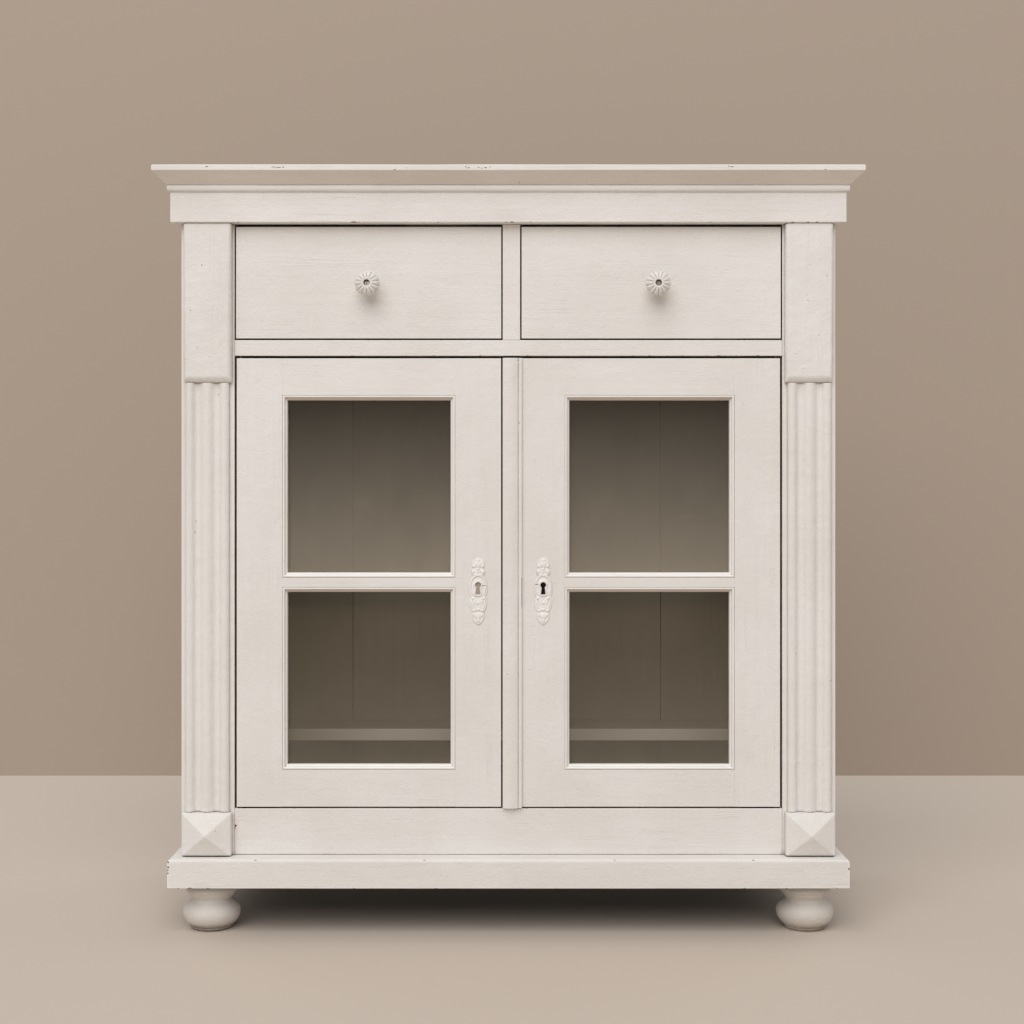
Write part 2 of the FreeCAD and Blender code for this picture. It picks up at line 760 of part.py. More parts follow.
def left_door():
    hinge_stile, locking_stile = door(-1, "left", left_door_edge, lock_stile_width + left_stile_extra)
    x = left_door_edge - (lock_stile_width + left_stile_extra) / 2
    place("left_escutcheon", escutcheon(x, False))
    z0 = escutcheon_z - strike_height / 2
    y0 = door_thickness - strike_width - (lock_case_depth - bolt_thickness) / 4
    plate = box(left_door_edge - strike_thickness, left_door_edge, y0, y0 + strike_width,
                z0, z0 + strike_height)
    entry = bolt_room(left_door_edge - bolt_throw - strike_room, left_door_edge)
    place("lock_strike", plate.cut(entry))
    locking_stile = locking_stile.cut(plate).cut(entry)
    place("left_door_stiles", hinge_stile, locking_stile)
    place("slide_bolt_upper", slide_bolt(True))
    place("slide_bolt_lower", slide_bolt(False))
    place("slide_bolt_keepers", bolt_keeper(True), bolt_keeper(False))


bolt_front = door_thickness - lock_case_depth + (lock_case_depth - bolt_thickness) / 2


def bolt_room(x0, x1):
    """The space that the lock's bolt slides in, with its running clearance."""
    half = bolt_height / 2 + running_play
    y0 = bolt_front - running_play
    return box(x0, x1, y0, y0 + bolt_thickness + 2 * running_play, escutcheon_z - half, escutcheon_z + half)


def astragal():
    """The cover strip on the right door's meeting edge: a rounded face, a quirk and a narrow flat."""
    x0 = right_door_edge
    x2 = x0 + astragal_width
    x1 = x2 - astragal_flat
    z0 = door_bottom - astragal_drop
    edge = astragal_thickness * 0.72
    quirk = astragal_strip_thickness - 1.5
    edges = [arc(V(x0, -edge, z0), V((x0 + x1) / 2, -astragal_thickness, z0), V(x1 - 1, -edge, z0)),
             line(V(x1 - 1, -edge, z0), V(x1, -quirk, z0)),
             line(V(x1, -quirk, z0), V(x1 + 1, -astragal_strip_thickness, z0)),
             line(V(x1 + 1, -astragal_strip_thickness, z0), V(x2, -astragal_strip_thickness, z0)),
             line(V(x2, -astragal_strip_thickness, z0), V(x2, 0, z0)), line(V(x2, 0, z0), V(x0, 0, z0)),
             line(V(x0, 0, z0), V(x0, -edge, z0))]
    return moulded(edges, V(0, 0, door_top - z0))


def right_door():
    hinge_stile, locking_stile = door(1, "right", right_door_edge, lock_stile_width + astragal_width)
    place("astragal", astragal())
    x = right_door_edge + astragal_width + lock_stile_width / 2
    place("right_escutcheon", escutcheon(x, True))
    case_end = x + lock_case_height / 2
    half = lock_case_height / 2
    y0 = door_thickness - lock_case_depth
    blank = box(right_door_edge, case_end, y0, door_thickness, escutcheon_z - half, escutcheon_z + half)
    low = escutcheon_z - half + lock_wall
    high = escutcheon_z + half - lock_wall
    hollow = box(right_door_edge + lock_wall, case_end - lock_wall, y0 + lock_wall,
                 door_thickness - lock_wall, low, high)
    key_way = keyhole(x, 0, y0 + lock_wall)
    mouth = bolt_room(right_door_edge, right_door_edge + lock_wall)
    guide = box(right_door_edge + lock_wall, right_door_edge + bolt_length / 2, y0 + lock_wall,
                door_thickness - lock_wall, low, high)
    guide = guide.cut(bolt_room(right_door_edge, right_door_edge + bolt_length))
    case = blank.cut(hollow).cut(mouth).cut(key_way).fuse(guide).removeSplitter()
    place("lock_case", case)
    bolt = box(right_door_edge, right_door_edge + bolt_length, bolt_front, bolt_front + bolt_thickness,
               escutcheon_z - bolt_height / 2, escutcheon_z + bolt_height / 2)
    place("lock_bolt", bolt)
    place("right_door_stiles", hinge_stile, locking_stile.cut(blank).cut(key_way))


left_door()
right_door()


# ---------------------------------------------------------------- drawer bearers
drawers = {
    "left": (-half_opening + drawer_side_play, divider_left - drawer_side_play, 0.0),
    "right": (divider_right + drawer_side_play, half_opening - drawer_side_play, right_knob_shift),
}
kicker_bottom = drawer_bottom + drawer_side_height + kicker_play


def bearers():
    """Runners under the drawer sides, guides beside them, kickers above and stops behind the fronts."""
    y0 = frame_depth
    runner_top = drawer_bottom - running_play
    runners = []
    guides = []
    kickers = []
    stops = []
    for x0, x1, _ in drawers.values():
        outer_is_left = x0 < divider_offset - divider_width
        for x, outward in ((x0, -1), (x1, 1)):
            runners.append(box(x, x - outward * runner_width, y0, back_face, dust_board_top, runner_top))
            wall_side = (outward == -1) == outer_is_left
            partition_side = partition_left if outward == 1 else partition_right
            wall = outward * inner_half if wall_side else partition_side
            near = x + outward * running_play
            guides.append(box(near, wall, y0, back_face, dust_board_top, dust_board_top + guide_height))
            inner = x - outward * (drawer_side_thickness + kicker_height / 4)
            kickers.append(box(inner, wall, y0, back_face, kicker_bottom, kicker_bottom + kicker_height))
        for share in (0.25, 0.75):
            x = x0 + (x1 - x0) * share
            stops.append(box(x - stop_width / 2, x + stop_width / 2, y0, y0 + stop_depth, dust_board_top,
                             dust_board_top + stop_height))
    place("drawer_runners", *runners)
    place("drawer_guides", *guides)
    place("drawer_kickers", *kickers)
    place("drawer_stops", *stops)


bearers()


# ---------------------------------------------------------------- drawers
def tails(x0, x1, y_root, y_tip):
    """Dovetails on the end of a drawer side, widening from the root to the tip."""
    pitch = drawer_side_height / dovetail_count
    shapes = []
    for i in range(dovetail_count):
        middle = drawer_bottom + pitch * (i + 0.5)
        narrow = pitch * 0.3
        wide = narrow + dovetail_splay
        points = [V(x0, y_root, middle - narrow), V(x0, y_tip, middle - wide), V(x0, y_tip, middle + wide),
                  V(x0, y_root, middle + narrow)]
        shapes.append(prism(points, V(x1 - x0, 0, 0)))
    return shapes


def lobed_outline(radius, cut, height):
    """A closed outline of round lobes at one height of the knob; cut is the valleys' share of radius."""
    points = []
    for lobe in range(knob_flutes):
        for quarter, share in enumerate((1.0, 0.3, 0.0, 0.3)):
            angle = (lobe + quarter / 4) * 2 * math.pi / knob_flutes
            r = radius * (1 - cut * share)
            points.append(V(r * math.cos(angle), r * math.sin(angle), height))
    return Part.makePolygon(points + points[:1])


def knob(x, z):
    """A round fluted knob on a short stem, bored for the screw that holds it."""
    bulge = knob_radius - knob_core
    middle = knob_length - bulge
    outlines = []
    for degrees in (-65, -42, -18, 8, 34, 60, 84):
        angle = math.radians(degrees)
        cut = knob_flute_depth / knob_radius * (0.5 + 0.5 * math.cos(angle))
        radius = knob_core + bulge * math.cos(angle)
        outlines.append(lobed_outline(radius, cut, middle + bulge * math.sin(angle)))
    body = Part.makeLoft(outlines, True, True)
    body = body.fuse(Part.makeCylinder(knob_stem_radius, middle, V(0, 0, 0))).removeSplitter()
    seat = V(0, 0, knob_length - knob_hole_depth)
    body = body.cut(Part.makeCylinder(knob_hole_radius, knob_hole_depth, seat))
    body = body.cut(Part.makeCylinder(screw_radius + screw_play, knob_length, V(0, 0, 0)))
    body.rotate(V(0, 0, 0), V(1, 0, 0), 90)
    body.translate(V(x, 0, z))
    return body


def knob_screw(x, z):
    """A slotted screw whose head sits at the bottom of the knob's hole."""
    seat = -(knob_length - knob_hole_depth)
    crest = seat - screw_head_height
    head = Part.makeCylinder(screw_head_radius, screw_head_height, V(x, crest, z), V(0, 1, 0))
    shank = Part.makeCylinder(screw_radius, screw_length, V(x, seat, z), V(0, 1, 0))
    slot = box(x - screw_slot / 2, x + screw_slot / 2, crest, crest + screw_slot,
               z - screw_head_radius, z + screw_head_radius)
    return head.cut(slot).fuse(shank).removeSplitter()


def drawer(label, x0, x1, knob_shift):
    t = drawer_side_thickness
    side_top = drawer_bottom + drawer_side_height
    rear = drawer_box_depth
    root = drawer_front_thickness
    back_root = rear - t
    floor_z = drawer_bottom + drawer_bottom_rise
    front = box(x0, x1, 0, drawer_front_thickness, drawer_bottom, drawer_top)
    back = box(x0, x1, back_root, rear, floor_z + drawer_bottom_thickness, side_top)
    g = drawer_groove
    bottom = box(x0 + t - g, x1 - t + g, root - g, rear, floor_z, floor_z + drawer_bottom_thickness)
    sides = []
    for a, b in ((x0, x0 + t), (x1 - t, x1)):
        side = box(a, b, root, back_root, drawer_bottom, side_top)
        lower = box(a, b, back_root, rear, drawer_bottom, floor_z + drawer_bottom_thickness)
        side = side.fuse(lower)
        front_tails = tails(a, b, root, root - dovetail_lap)
        for tail in front_tails + tails(a, b, back_root, rear):
            side = side.fuse(tail)
        side = side.cut(bottom).removeSplitter()
        front = front.cut(side)
        back = back.cut(side)
        sides.append(side)
    front = front.cut(bottom)
    x = (x0 + x1) / 2 + knob_shift
    z = (drawer_bottom + drawer_top) / 2 - knob_drop
    screw = knob_screw(x, z)
    place(label + "_drawer_front", front.cut(screw))
    place(label + "_drawer_sides_and_back", *sides, back)
    place(label + "_drawer_bottom", bottom)
    place(label + "_knob", knob(x, z))
    place(label + "_knob_screw", screw)


for drawer_label, (left_x, right_x, shift) in drawers.items():
    drawer(drawer_label, left_x, right_x, shift)

# ---------------------------------------------------------------- write the pieces
os.makedirs("parts", exist_ok=True)
for part_name, part_shape in parts.items():
    part_shape.exportStep("parts/" + part_name + ".step")
    low = part_shape.BoundBox
    print(f"{part_name:24s} {len(part_shape.Solids):2d} x {low.XMin:8.1f} {low.XMax:8.1f}  y {low.YMin:8.1f}"
          f" {low.YMax:8.1f}  z {low.ZMin:8.1f} {low.ZMax:8.1f}  valid {part_shape.isValid()}")
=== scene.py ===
"""Painted glazed cabinet: two drawers over two doors, on a plinth with turned feet.

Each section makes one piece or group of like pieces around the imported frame, in the order in which
the cabinet is put together: feet, plinth, carcass, pilasters, cornice, doors, fittings, drawers.
"""
import math
import random

import bpy
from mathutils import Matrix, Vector


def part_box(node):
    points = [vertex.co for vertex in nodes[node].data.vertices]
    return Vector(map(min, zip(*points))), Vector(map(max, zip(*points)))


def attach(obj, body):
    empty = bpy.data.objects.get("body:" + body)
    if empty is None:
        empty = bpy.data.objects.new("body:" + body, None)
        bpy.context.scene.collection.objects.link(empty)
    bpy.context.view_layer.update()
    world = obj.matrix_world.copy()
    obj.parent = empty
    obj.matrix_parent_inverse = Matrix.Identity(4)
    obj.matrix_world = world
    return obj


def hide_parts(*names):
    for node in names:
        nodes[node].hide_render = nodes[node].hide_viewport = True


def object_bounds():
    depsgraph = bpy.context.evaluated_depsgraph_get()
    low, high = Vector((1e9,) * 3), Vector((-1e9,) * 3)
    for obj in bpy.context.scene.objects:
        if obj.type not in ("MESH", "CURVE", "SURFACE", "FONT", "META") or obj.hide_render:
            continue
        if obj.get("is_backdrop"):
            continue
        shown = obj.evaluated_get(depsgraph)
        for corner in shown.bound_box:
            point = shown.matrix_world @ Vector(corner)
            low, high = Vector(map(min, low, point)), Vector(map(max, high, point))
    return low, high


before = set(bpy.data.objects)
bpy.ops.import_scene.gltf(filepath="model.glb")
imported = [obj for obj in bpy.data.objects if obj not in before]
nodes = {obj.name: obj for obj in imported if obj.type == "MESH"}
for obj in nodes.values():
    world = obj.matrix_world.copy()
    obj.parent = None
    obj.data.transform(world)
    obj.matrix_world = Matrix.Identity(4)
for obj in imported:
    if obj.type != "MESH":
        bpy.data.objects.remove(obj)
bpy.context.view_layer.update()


# ---------------------------------------------------------------- turned feet
# Four bun feet turned from one billet each: collar, hollow, neck groove, bun and base ring.  Their round
# tenons go up through the plinth frame.  They are painted with the cabinet in a chalky off-white, darker and
# grubbier than elsewhere; part of that darkness, with the dirt round the collar, is painted shade under the plinth.
def let_go():
    """Nothing selected, no piece active in edit mode."""
    bpy.ops.object.select_all(action="DESELECT")


def pick(piece):
    let_go()
    piece.select_set(True)
    bpy.context.view_layer.objects.active = piece
    return piece


def apply_all(piece):
    pick(piece)
    for modifier in list(piece.modifiers):
        bpy.ops.object.modifier_apply(modifier=modifier.name)


def modify(piece, kind, **settings):
    """Add one modifier with its settings, and apply it."""
    change = piece.modifiers.new(kind.lower(), kind)
    for key, value in settings.items():
        setattr(change, key, value)
    apply_all(piece)


def seal(piece):
    """Merge double points and turn every face outwards."""
    pick(piece)
    bpy.ops.object.mode_set(mode="EDIT")
    bpy.ops.mesh.select_all(action="SELECT")
    bpy.ops.mesh.remove_doubles(threshold=1e-5)
    bpy.ops.mesh.normals_make_consistent(inside=False)
    bpy.ops.object.mode_set(mode="OBJECT")


def smooth(piece, degrees, even=True):
    """Round shading up to an angle; even keeps a broad face flat beside its eased edges."""
    pick(piece)
    bpy.ops.object.shade_smooth_by_angle(angle=math.radians(degrees))
    if even:
        modify(piece, "WEIGHTED_NORMAL", keep_sharp=True)


def seat(piece, body, slot, material, *stood_for):
    """Put a finished piece on its body with its finish, in place of the nodes that it stands for."""
    if material:
        piece.data.materials.clear()
        piece.data.materials.append(material)
    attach(piece, body)
    if stood_for:
        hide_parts(*stood_for)


def node(tree, kind, wires=None, **settings):
    """A shader node with its settings; wires gives each input a value or the socket that feeds it."""
    made = tree.nodes.new(kind)
    for key, value in settings.items():
        setattr(made, key, value)
    for key, value in (wires or {}).items():
        if isinstance(value, bpy.types.NodeSocket):
            tree.links.new(value, made.inputs[key])
        else:
            made.inputs[key].default_value = value
    return made


def calc(tree, operation, a, b=0.0, c=0.0, clamp=False):
    made = node(tree, "ShaderNodeMath", {0: a, 1: b, 2: c}, operation=operation, use_clamp=clamp)
    return made.outputs[0]


def fade(tree, value, low, high, to_low=0.0, to_high=1.0):
    """A smooth step from low to high."""
    wires = {"Value": value, "From Min": low, "From Max": high, "To Min": to_low, "To Max": to_high}
    return node(tree, "ShaderNodeMapRange", wires, interpolation_type="SMOOTHSTEP").outputs[0]


def blend_colour(tree, share, a, b):
    made = node(tree, "ShaderNodeMix", {0: share, 6: a, 7: b}, data_type="RGBA")
    return made.outputs[2]


def scaled(tree, place, factors):
    """A place or a direction scaled by three factors, or by one number for all three."""
    if isinstance(factors, float):
        factors = (factors,) * 3
    return node(tree, "ShaderNodeVectorMath", {0: place, 1: factors}, operation="MULTIPLY").outputs[0]


def noise(tree, place, detail=2.0, roughness=0.5, distortion=0.0):
    wires = {"Vector": place, "Scale": 1.0, "Detail": detail, "Roughness": roughness}
    wires["Distortion"] = distortion
    return node(tree, "ShaderNodeTexNoise", wires).outputs[0]


def new_group(name, inputs, outputs):
    """An effect with named sockets; returns its tree, its inputs and its output node."""
    tree = bpy.data.node_groups.new(name, "ShaderNodeTree")
    for label, kind in inputs:
        tree.interface.new_socket(name=label, in_out="INPUT", socket_type="NodeSocket" + kind)
    for label, kind in outputs:
        tree.interface.new_socket(name=label, in_out="OUTPUT", socket_type="NodeSocket" + kind)
    return tree, tree.nodes.new("NodeGroupInput").outputs, tree.nodes.new("NodeGroupOutput")


def give(tree, end, **sockets):
    """Lead a group's results to its outputs of the same name."""
    for label, socket in sockets.items():
        tree.links.new(socket, end.inputs[label])


def brushed_paint():
    """Chalk paint laid on by hand: long brush marks, slow mottling, a fine tooth and a few specks."""
    inputs = [("Place", "Vector"), ("Brush", "Vector"), ("Paint", "Color"), ("Undertone", "Color")]
    outputs = [("Color", "Color"), ("Roughness", "Float"), ("Height", "Float")]
    tree, given, end = new_group("brushed_paint", inputs, outputs)
    place = given["Place"]
    strokes = noise(tree, scaled(tree, place, given["Brush"]), 4.0, 0.62, 0.5)
    broad = scaled(tree, given["Brush"], 0.22)
    passes = noise(tree, scaled(tree, place, broad), 3.0, 0.55, 0.8)
    folds = noise(tree, scaled(tree, place, scaled(tree, given["Brush"], 0.13)), 2.0, 0.5, 1.6)
    crest = calc(tree, "ABSOLUTE", calc(tree, "SUBTRACT", folds, 0.5))
    here = noise(tree, scaled(tree, place, 17.0), 2.0, 0.5)
    wrinkle = calc(tree, "MULTIPLY", fade(tree, crest, 0.0, 0.016, 1.0, 0.0), fade(tree, here, 0.48, 0.62))
    slow = noise(tree, scaled(tree, place, 6.0), 4.0, 0.55)
    lumps = noise(tree, scaled(tree, place, 55.0), 2.5, 0.5, 0.6)
    grit = noise(tree, scaled(tree, place, (330.0, 330.0, 430.0)), 3.0, 0.6, 0.4)
    tooth = noise(tree, scaled(tree, place, 950.0), 3.0, 0.6)
    cells = node(tree, "ShaderNodeTexVoronoi", {"Vector": place, "Scale": 62.0, "Randomness": 1.0})
    rare = node(tree, "ShaderNodeSeparateColor", {0: cells.outputs["Color"]})
    size = fade(tree, rare.outputs[1], 0.0, 1.0, 0.028, 0.062)
    dot = calc(tree, "LESS_THAN", cells.outputs["Distance"], size)
    speck = calc(tree, "MULTIPLY", dot, calc(tree, "GREATER_THAN", rare.outputs[0], 0.86))
    pit_zone = calc(tree, "LESS_THAN", cells.outputs["Distance"], 0.13)
    pit = calc(tree, "MULTIPLY", pit_zone, calc(tree, "LESS_THAN", rare.outputs[0], 0.16))
    tone = calc(tree, "MULTIPLY", fade(tree, slow, 0.36, 0.66), 0.55)
    for part, low, high, share in ((passes, 0.34, 0.7, 0.2), (strokes, 0.35, 0.75, 0.14)):
        tone = calc(tree, "ADD", tone, calc(tree, "MULTIPLY", fade(tree, part, low, high), share))
    colour = blend_colour(tree, tone, given["Paint"], given["Undertone"])
    grime = (0.20, 0.145, 0.10, 1.0)
    colour = blend_colour(tree, calc(tree, "MULTIPLY", speck, 0.75), colour, grime)
    height = calc(tree, "MULTIPLY", strokes, 0.19)
    for part, share in ((wrinkle, 0.17), (passes, 0.15), (lumps, 0.85), (grit, 0.62), (tooth, 0.02), (speck, -0.14),
                        (pit, -0.22)):
        height = calc(tree, "MULTIPLY_ADD", part, share, height)
    rough = calc(tree, "MULTIPLY_ADD", strokes, 0.16, 0.44)
    rough = calc(tree, "MULTIPLY_ADD", slow, 0.12, rough)
    give(tree, end, Color=colour, Roughness=rough, Height=height)
    return tree


def worn_and_highlit_edges():
    """Where hands and brooms have rubbed an arris: Mask is bare wood, and the rub mask is thin, burnished paint with a
    painted highlight on the arris.
    """
    inputs = [("Place", "Vector"), ("Reach", "Float"), ("Amount", "Float")]
    tree, given, end = new_group("worn_and_highlit_edges", inputs, [("Mask", "Float"), ("Rub", "Float")])
    rounded = node(tree, "ShaderNodeBevel", {"Radius": given["Reach"]}, samples=6).outputs[0]
    true = node(tree, "ShaderNodeNewGeometry").outputs["Normal"]
    dot = node(tree, "ShaderNodeVectorMath", {0: rounded, 1: true}, operation="DOT_PRODUCT").outputs["Value"]
    edge = fade(tree, calc(tree, "SUBTRACT", 1.0, dot), 0.015, 0.2)
    place = given["Place"]
    patch = noise(tree, scaled(tree, place, 13.0), 3.0, 0.6)
    flake = noise(tree, scaled(tree, place, 240.0), 4.0, 0.6)
    both = calc(tree, "MULTIPLY_ADD", flake, 0.55, calc(tree, "MULTIPLY", patch, 0.75))
    hit = calc(tree, "MULTIPLY", calc(tree, "ADD", both, given["Amount"]), edge)
    give(tree, end, Mask=fade(tree, hit, 0.80, 0.84), Rub=calc(tree, "MULTIPLY", edge, fade(tree, patch, 0.22, 0.5)))
    return tree


def joint_dirt_and_shade():
    """Dust and old wax, and painted shade: Mask darkens inner corners, and the deep mask darkens open joints, both by
    how closed in each point is.
    """
    inputs = [("Place", "Vector"), ("Reach", "Float")]
    tree, given, end = new_group("joint_dirt_and_shade", inputs, [("Mask", "Float"), ("Deep", "Float")])
    open_sky = node(tree, "ShaderNodeAmbientOcclusion", {"Distance": given["Reach"]}, samples=6).outputs["AO"]
    corner = fade(tree, calc(tree, "SUBTRACT", 1.0, open_sky), 0.30, 0.95)
    broken = noise(tree, scaled(tree, given["Place"], 70.0), 3.0, 0.6)
    dusted_and_shaded = calc(tree, "MULTIPLY", corner, fade(tree, broken, 0.2, 0.75))
    deep_shade = fade(tree, calc(tree, "SUBTRACT", 1.0, open_sky), 0.58, 0.82)
    filled = fade(tree, noise(tree, scaled(tree, given["Place"], 9.0), 3.0, 0.6), 0.50, 0.62, 1.0, 0.45)
    give(tree, end, Mask=dusted_and_shaded, Deep=calc(tree, "MULTIPLY", deep_shade, filled))
    return tree


effects = {"paint": brushed_paint(), "wear": worn_and_highlit_edges(), "dirt_and_shade": joint_dirt_and_shade()}
bare_brown = (0.185, 0.112, 0.062, 1.0)
off_white = (0.803, 0.771, 0.737, 1.0)
off_white_low = (0.734, 0.694, 0.653, 1.0)
# The light tone on arrises is rubbed paint and a painted highlight; the corner brown and the joint near black are dirt
# and painted shade.
rubbed_white_highlight = (0.95, 0.93, 0.905, 1.0)
corner_dust_and_shade = (0.28, 0.185, 0.11, 1.0)
joint_shade_black = (0.026, 0.018, 0.012, 1.0)


def new_material(name):
    material = bpy.data.materials.new(name)
    material.use_nodes = True
    tree = material.node_tree
    tree.nodes.clear()
    shader = tree.nodes.new("ShaderNodeBsdfPrincipled")
    out = tree.nodes.new("ShaderNodeOutputMaterial")
    tree.links.new(shader.outputs[0], out.inputs["Surface"])
    place = tree.nodes.new("ShaderNodeTexCoord").outputs["Object"]
    return material, tree, shader, place


def effect(tree, name, wires):
    return node(tree, "ShaderNodeGroup", wires, node_tree=effects[name]).outputs


def surface(tree, shader, colour, rough, height, gloss=None, relief=1.0):
    """Wire a finish to its shader: colour, roughness, and a relief whose height is in millimetres."""
    tree.links.new(colour, shader.inputs["Base Color"])
    tree.links.new(rough, shader.inputs["Roughness"])
    bump = node(tree, "ShaderNodeBump", {"Strength": relief, "Distance": 0.001, "Height": height})
    tree.links.new(bump.outputs[0], shader.inputs["Normal"])
    if gloss is not None:
        shader.inputs["Specular IOR Level"].default_value = gloss


# A brown for open joints: dust in them, and painted shade.
dusty_joint_shade = (0.23, 0.135, 0.075, 1.0)
upright = (330.0, 330.0, 11.0)
level = (11.0, 11.0, 330.0)
lengthways = (11.0, 330.0, 330.0)
turned = (90.0, 90.0, 330.0)


def painted(name, brush, wear=-0.15, reach=0.0022, paint=off_white, undertone=off_white_low, dirt_and_shade=0.45,
            corner=0.010, rub_highlight=0.7, deep_shade=0.95, relief=1.0, line=joint_shade_black):
    """The cabinet's paint on one kind of piece; brush sets which way the strokes run, and line is the tone of the open
    joints beside it, their dirt and painted shade."""
    material, tree, shader, place = new_material(name)
    coat = effect(tree, "paint", {"Place": place, "Brush": brush, "Paint": paint, "Undertone": undertone})
    wear_and_highlight = effect(tree, "wear", {"Place": place, "Reach": reach, "Amount": wear})
    dust_and_shade = effect(tree, "dirt_and_shade", {"Place": place, "Reach": corner})
    # Dust and painted shade in corners, rubbed paint with a painted highlight on arrises, dirt and painted shade in
    # open joints.
    colour = blend_colour(tree, calc(tree, "MULTIPLY", dust_and_shade["Mask"], dirt_and_shade), coat["Color"], corner_dust_and_shade)
    colour = blend_colour(tree, calc(tree, "MULTIPLY", wear_and_highlight["Rub"], rub_highlight), colour, rubbed_white_highlight)
    colour = blend_colour(tree, calc(tree, "MULTIPLY", dust_and_shade["Deep"], deep_shade), colour, line)
    colour = blend_colour(tree, wear_and_highlight["Mask"], colour, bare_brown)
    rough = calc(tree, "MULTIPLY_ADD", wear_and_highlight["Mask"], 0.2, coat["Roughness"])
    rough = calc(tree, "MULTIPLY_ADD", dust_and_shade["Deep"], 0.5, rough, clamp=True)
    height = calc(tree, "MULTIPLY_ADD", wear_and_highlight["Mask"], -0.14, coat["Height"])
    surface(tree, shader, colour, rough, height, 0.42, relief)
    return material


# The feet's paint is darker, and its dirt reaches further: grime on feet, and painted shade under the plinth.
paint_foot_grime_and_shade = painted("paint_foot_grime_and_shade", turned, -0.2, 0.0012, (0.70, 0.652, 0.600, 1.0), (0.60, 0.545, 0.485, 1.0), 0.80,
                     0.025)

foot_low, foot_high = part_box("turned_feet")
bun = 0.0416
foot_profile = [
    (0.0, 0.0), (0.0268, 0.0), (0.0287, 0.0006), (0.0298, 0.0020), (0.0304, 0.0034), (0.0308, 0.0042),
    (0.0316, 0.0050), (0.0332, 0.0066), (0.0353, 0.0089), (0.0378, 0.0121), (0.0400, 0.0160),
    (0.0412, 0.0200), (0.0416, 0.0236), (0.0413, 0.0270), (0.0401, 0.0307), (0.0382, 0.0340), (0.0357, 0.0369),
    (0.0332, 0.0392), (0.0311, 0.0408), (0.0298, 0.0421), (0.0289, 0.0431), (0.0288, 0.0439), (0.0293, 0.0446),
    (0.0302, 0.0460), (0.0314, 0.0478), (0.0327, 0.0495), (0.0338, 0.0510), (0.0342, 0.0517), (0.0340, 0.0521),
    (0.0343, 0.0525), (0.0354, 0.0534), (0.0364, 0.0546), (0.0373, 0.0560), (0.0379, 0.0578), (0.0380, 0.0600),
    (0.0380, 0.0680), (0.0378, 0.0685), (0.0130, 0.0685), (0.0130, foot_high.z), (0.0, foot_high.z),
]


def blank_piece(name, points, edges, faces):
    let_go()
    bpy.ops.mesh.primitive_plane_add(size=0.01, location=(0, 0, 0))
    piece = bpy.context.object
    piece.name = piece.data.name = name
    piece.data.clear_geometry()
    piece.data.from_pydata(points, edges, faces)
    return piece


def turn_foot(x, y):
    """One foot: its half outline spun round the upright through x, y."""
    outline = [(x + r, y, z) for r, z in foot_profile]
    piece = blank_piece("foot", outline, [(i, i + 1) for i in range(len(outline) - 1)], [])
    pick(piece)
    bpy.ops.object.mode_set(mode="EDIT")
    bpy.ops.mesh.select_all(action="SELECT")
    bpy.ops.mesh.spin(steps=72, angle=2 * math.pi, center=(x, y, 0), axis=(0, 0, 1))
    bpy.ops.object.mode_set(mode="OBJECT")
    seal(piece)
    return piece


def join(pieces, name):
    let_go()
    for piece in pieces:
        piece.select_set(True)
    bpy.context.view_layer.objects.active = pieces[0]
    bpy.ops.object.join()
    pieces[0].name = name
    pieces[0].data.name = name
    return pieces[0]


def hand_made(piece, amount, grain, name):
    """Push the surface in and out a little, as a blade and a full brush leave it."""
    cloud = bpy.data.textures.new(name, "CLOUDS")
    cloud.noise_scale = grain
    cloud.noise_depth = 2
    modify(piece, "DISPLACE", texture=cloud, texture_coords="LOCAL", strength=amount, mid_level=0.5)


def keep_in(piece, low, high):
    """Press a softened piece back inside the room that its sawn block has."""
    for point in piece.data.vertices:
        for axis in range(3):
            point.co[axis] = min(max(point.co[axis], low[axis]), high[axis])


foot_x = foot_high.x - bun
foot_front_y = foot_low.y + bun
foot_back_y = foot_high.y - bun
feet = [turn_foot(x, y) for x in (-foot_x, foot_x) for y in (foot_front_y, foot_back_y)]
turned_feet = join(feet, "turned_feet_painted")
hand_made(turned_feet, 0.0006, 0.025, "foot_hand")
keep_in(turned_feet, foot_low, foot_high)
smooth(turned_feet, 60, False)
seat(turned_feet, "carcass", "painted_wood", paint_foot_grime_and_shade, "turned_feet")


# ---------------------------------------------------------------- plinth
# A frame of four flat boards mitred at the front corners, its top edges rounded over.  Brooms and shoes
# have broken flakes out of its lower edge, and the brown wood shows there.
def board(name, source):
    """A clean, closed copy of a sawn piece, ready to have its edges eased."""
    piece = bpy.data.objects.new(name, nodes[source].data.copy())
    piece.data.name = name
    bpy.context.scene.collection.objects.link(piece)
    pick(piece)
    bpy.ops.object.mode_set(mode="EDIT")
    bpy.ops.mesh.select_all(action="SELECT")
    bpy.ops.mesh.remove_doubles(threshold=1e-6)
    bpy.ops.mesh.select_mode(type="FACE")
    bpy.ops.mesh.select_all(action="DESELECT")
    bpy.ops.mesh.select_interior_faces()
    bpy.ops.mesh.delete(type="FACE")
    bpy.ops.mesh.select_all(action="SELECT")
    bpy.ops.mesh.dissolve_limited(angle_limit=math.radians(0.5))
    bpy.ops.mesh.vert_connect_concave()
    bpy.ops.mesh.normals_make_consistent(inside=False)
    bpy.ops.object.mode_set(mode="OBJECT")
    return piece


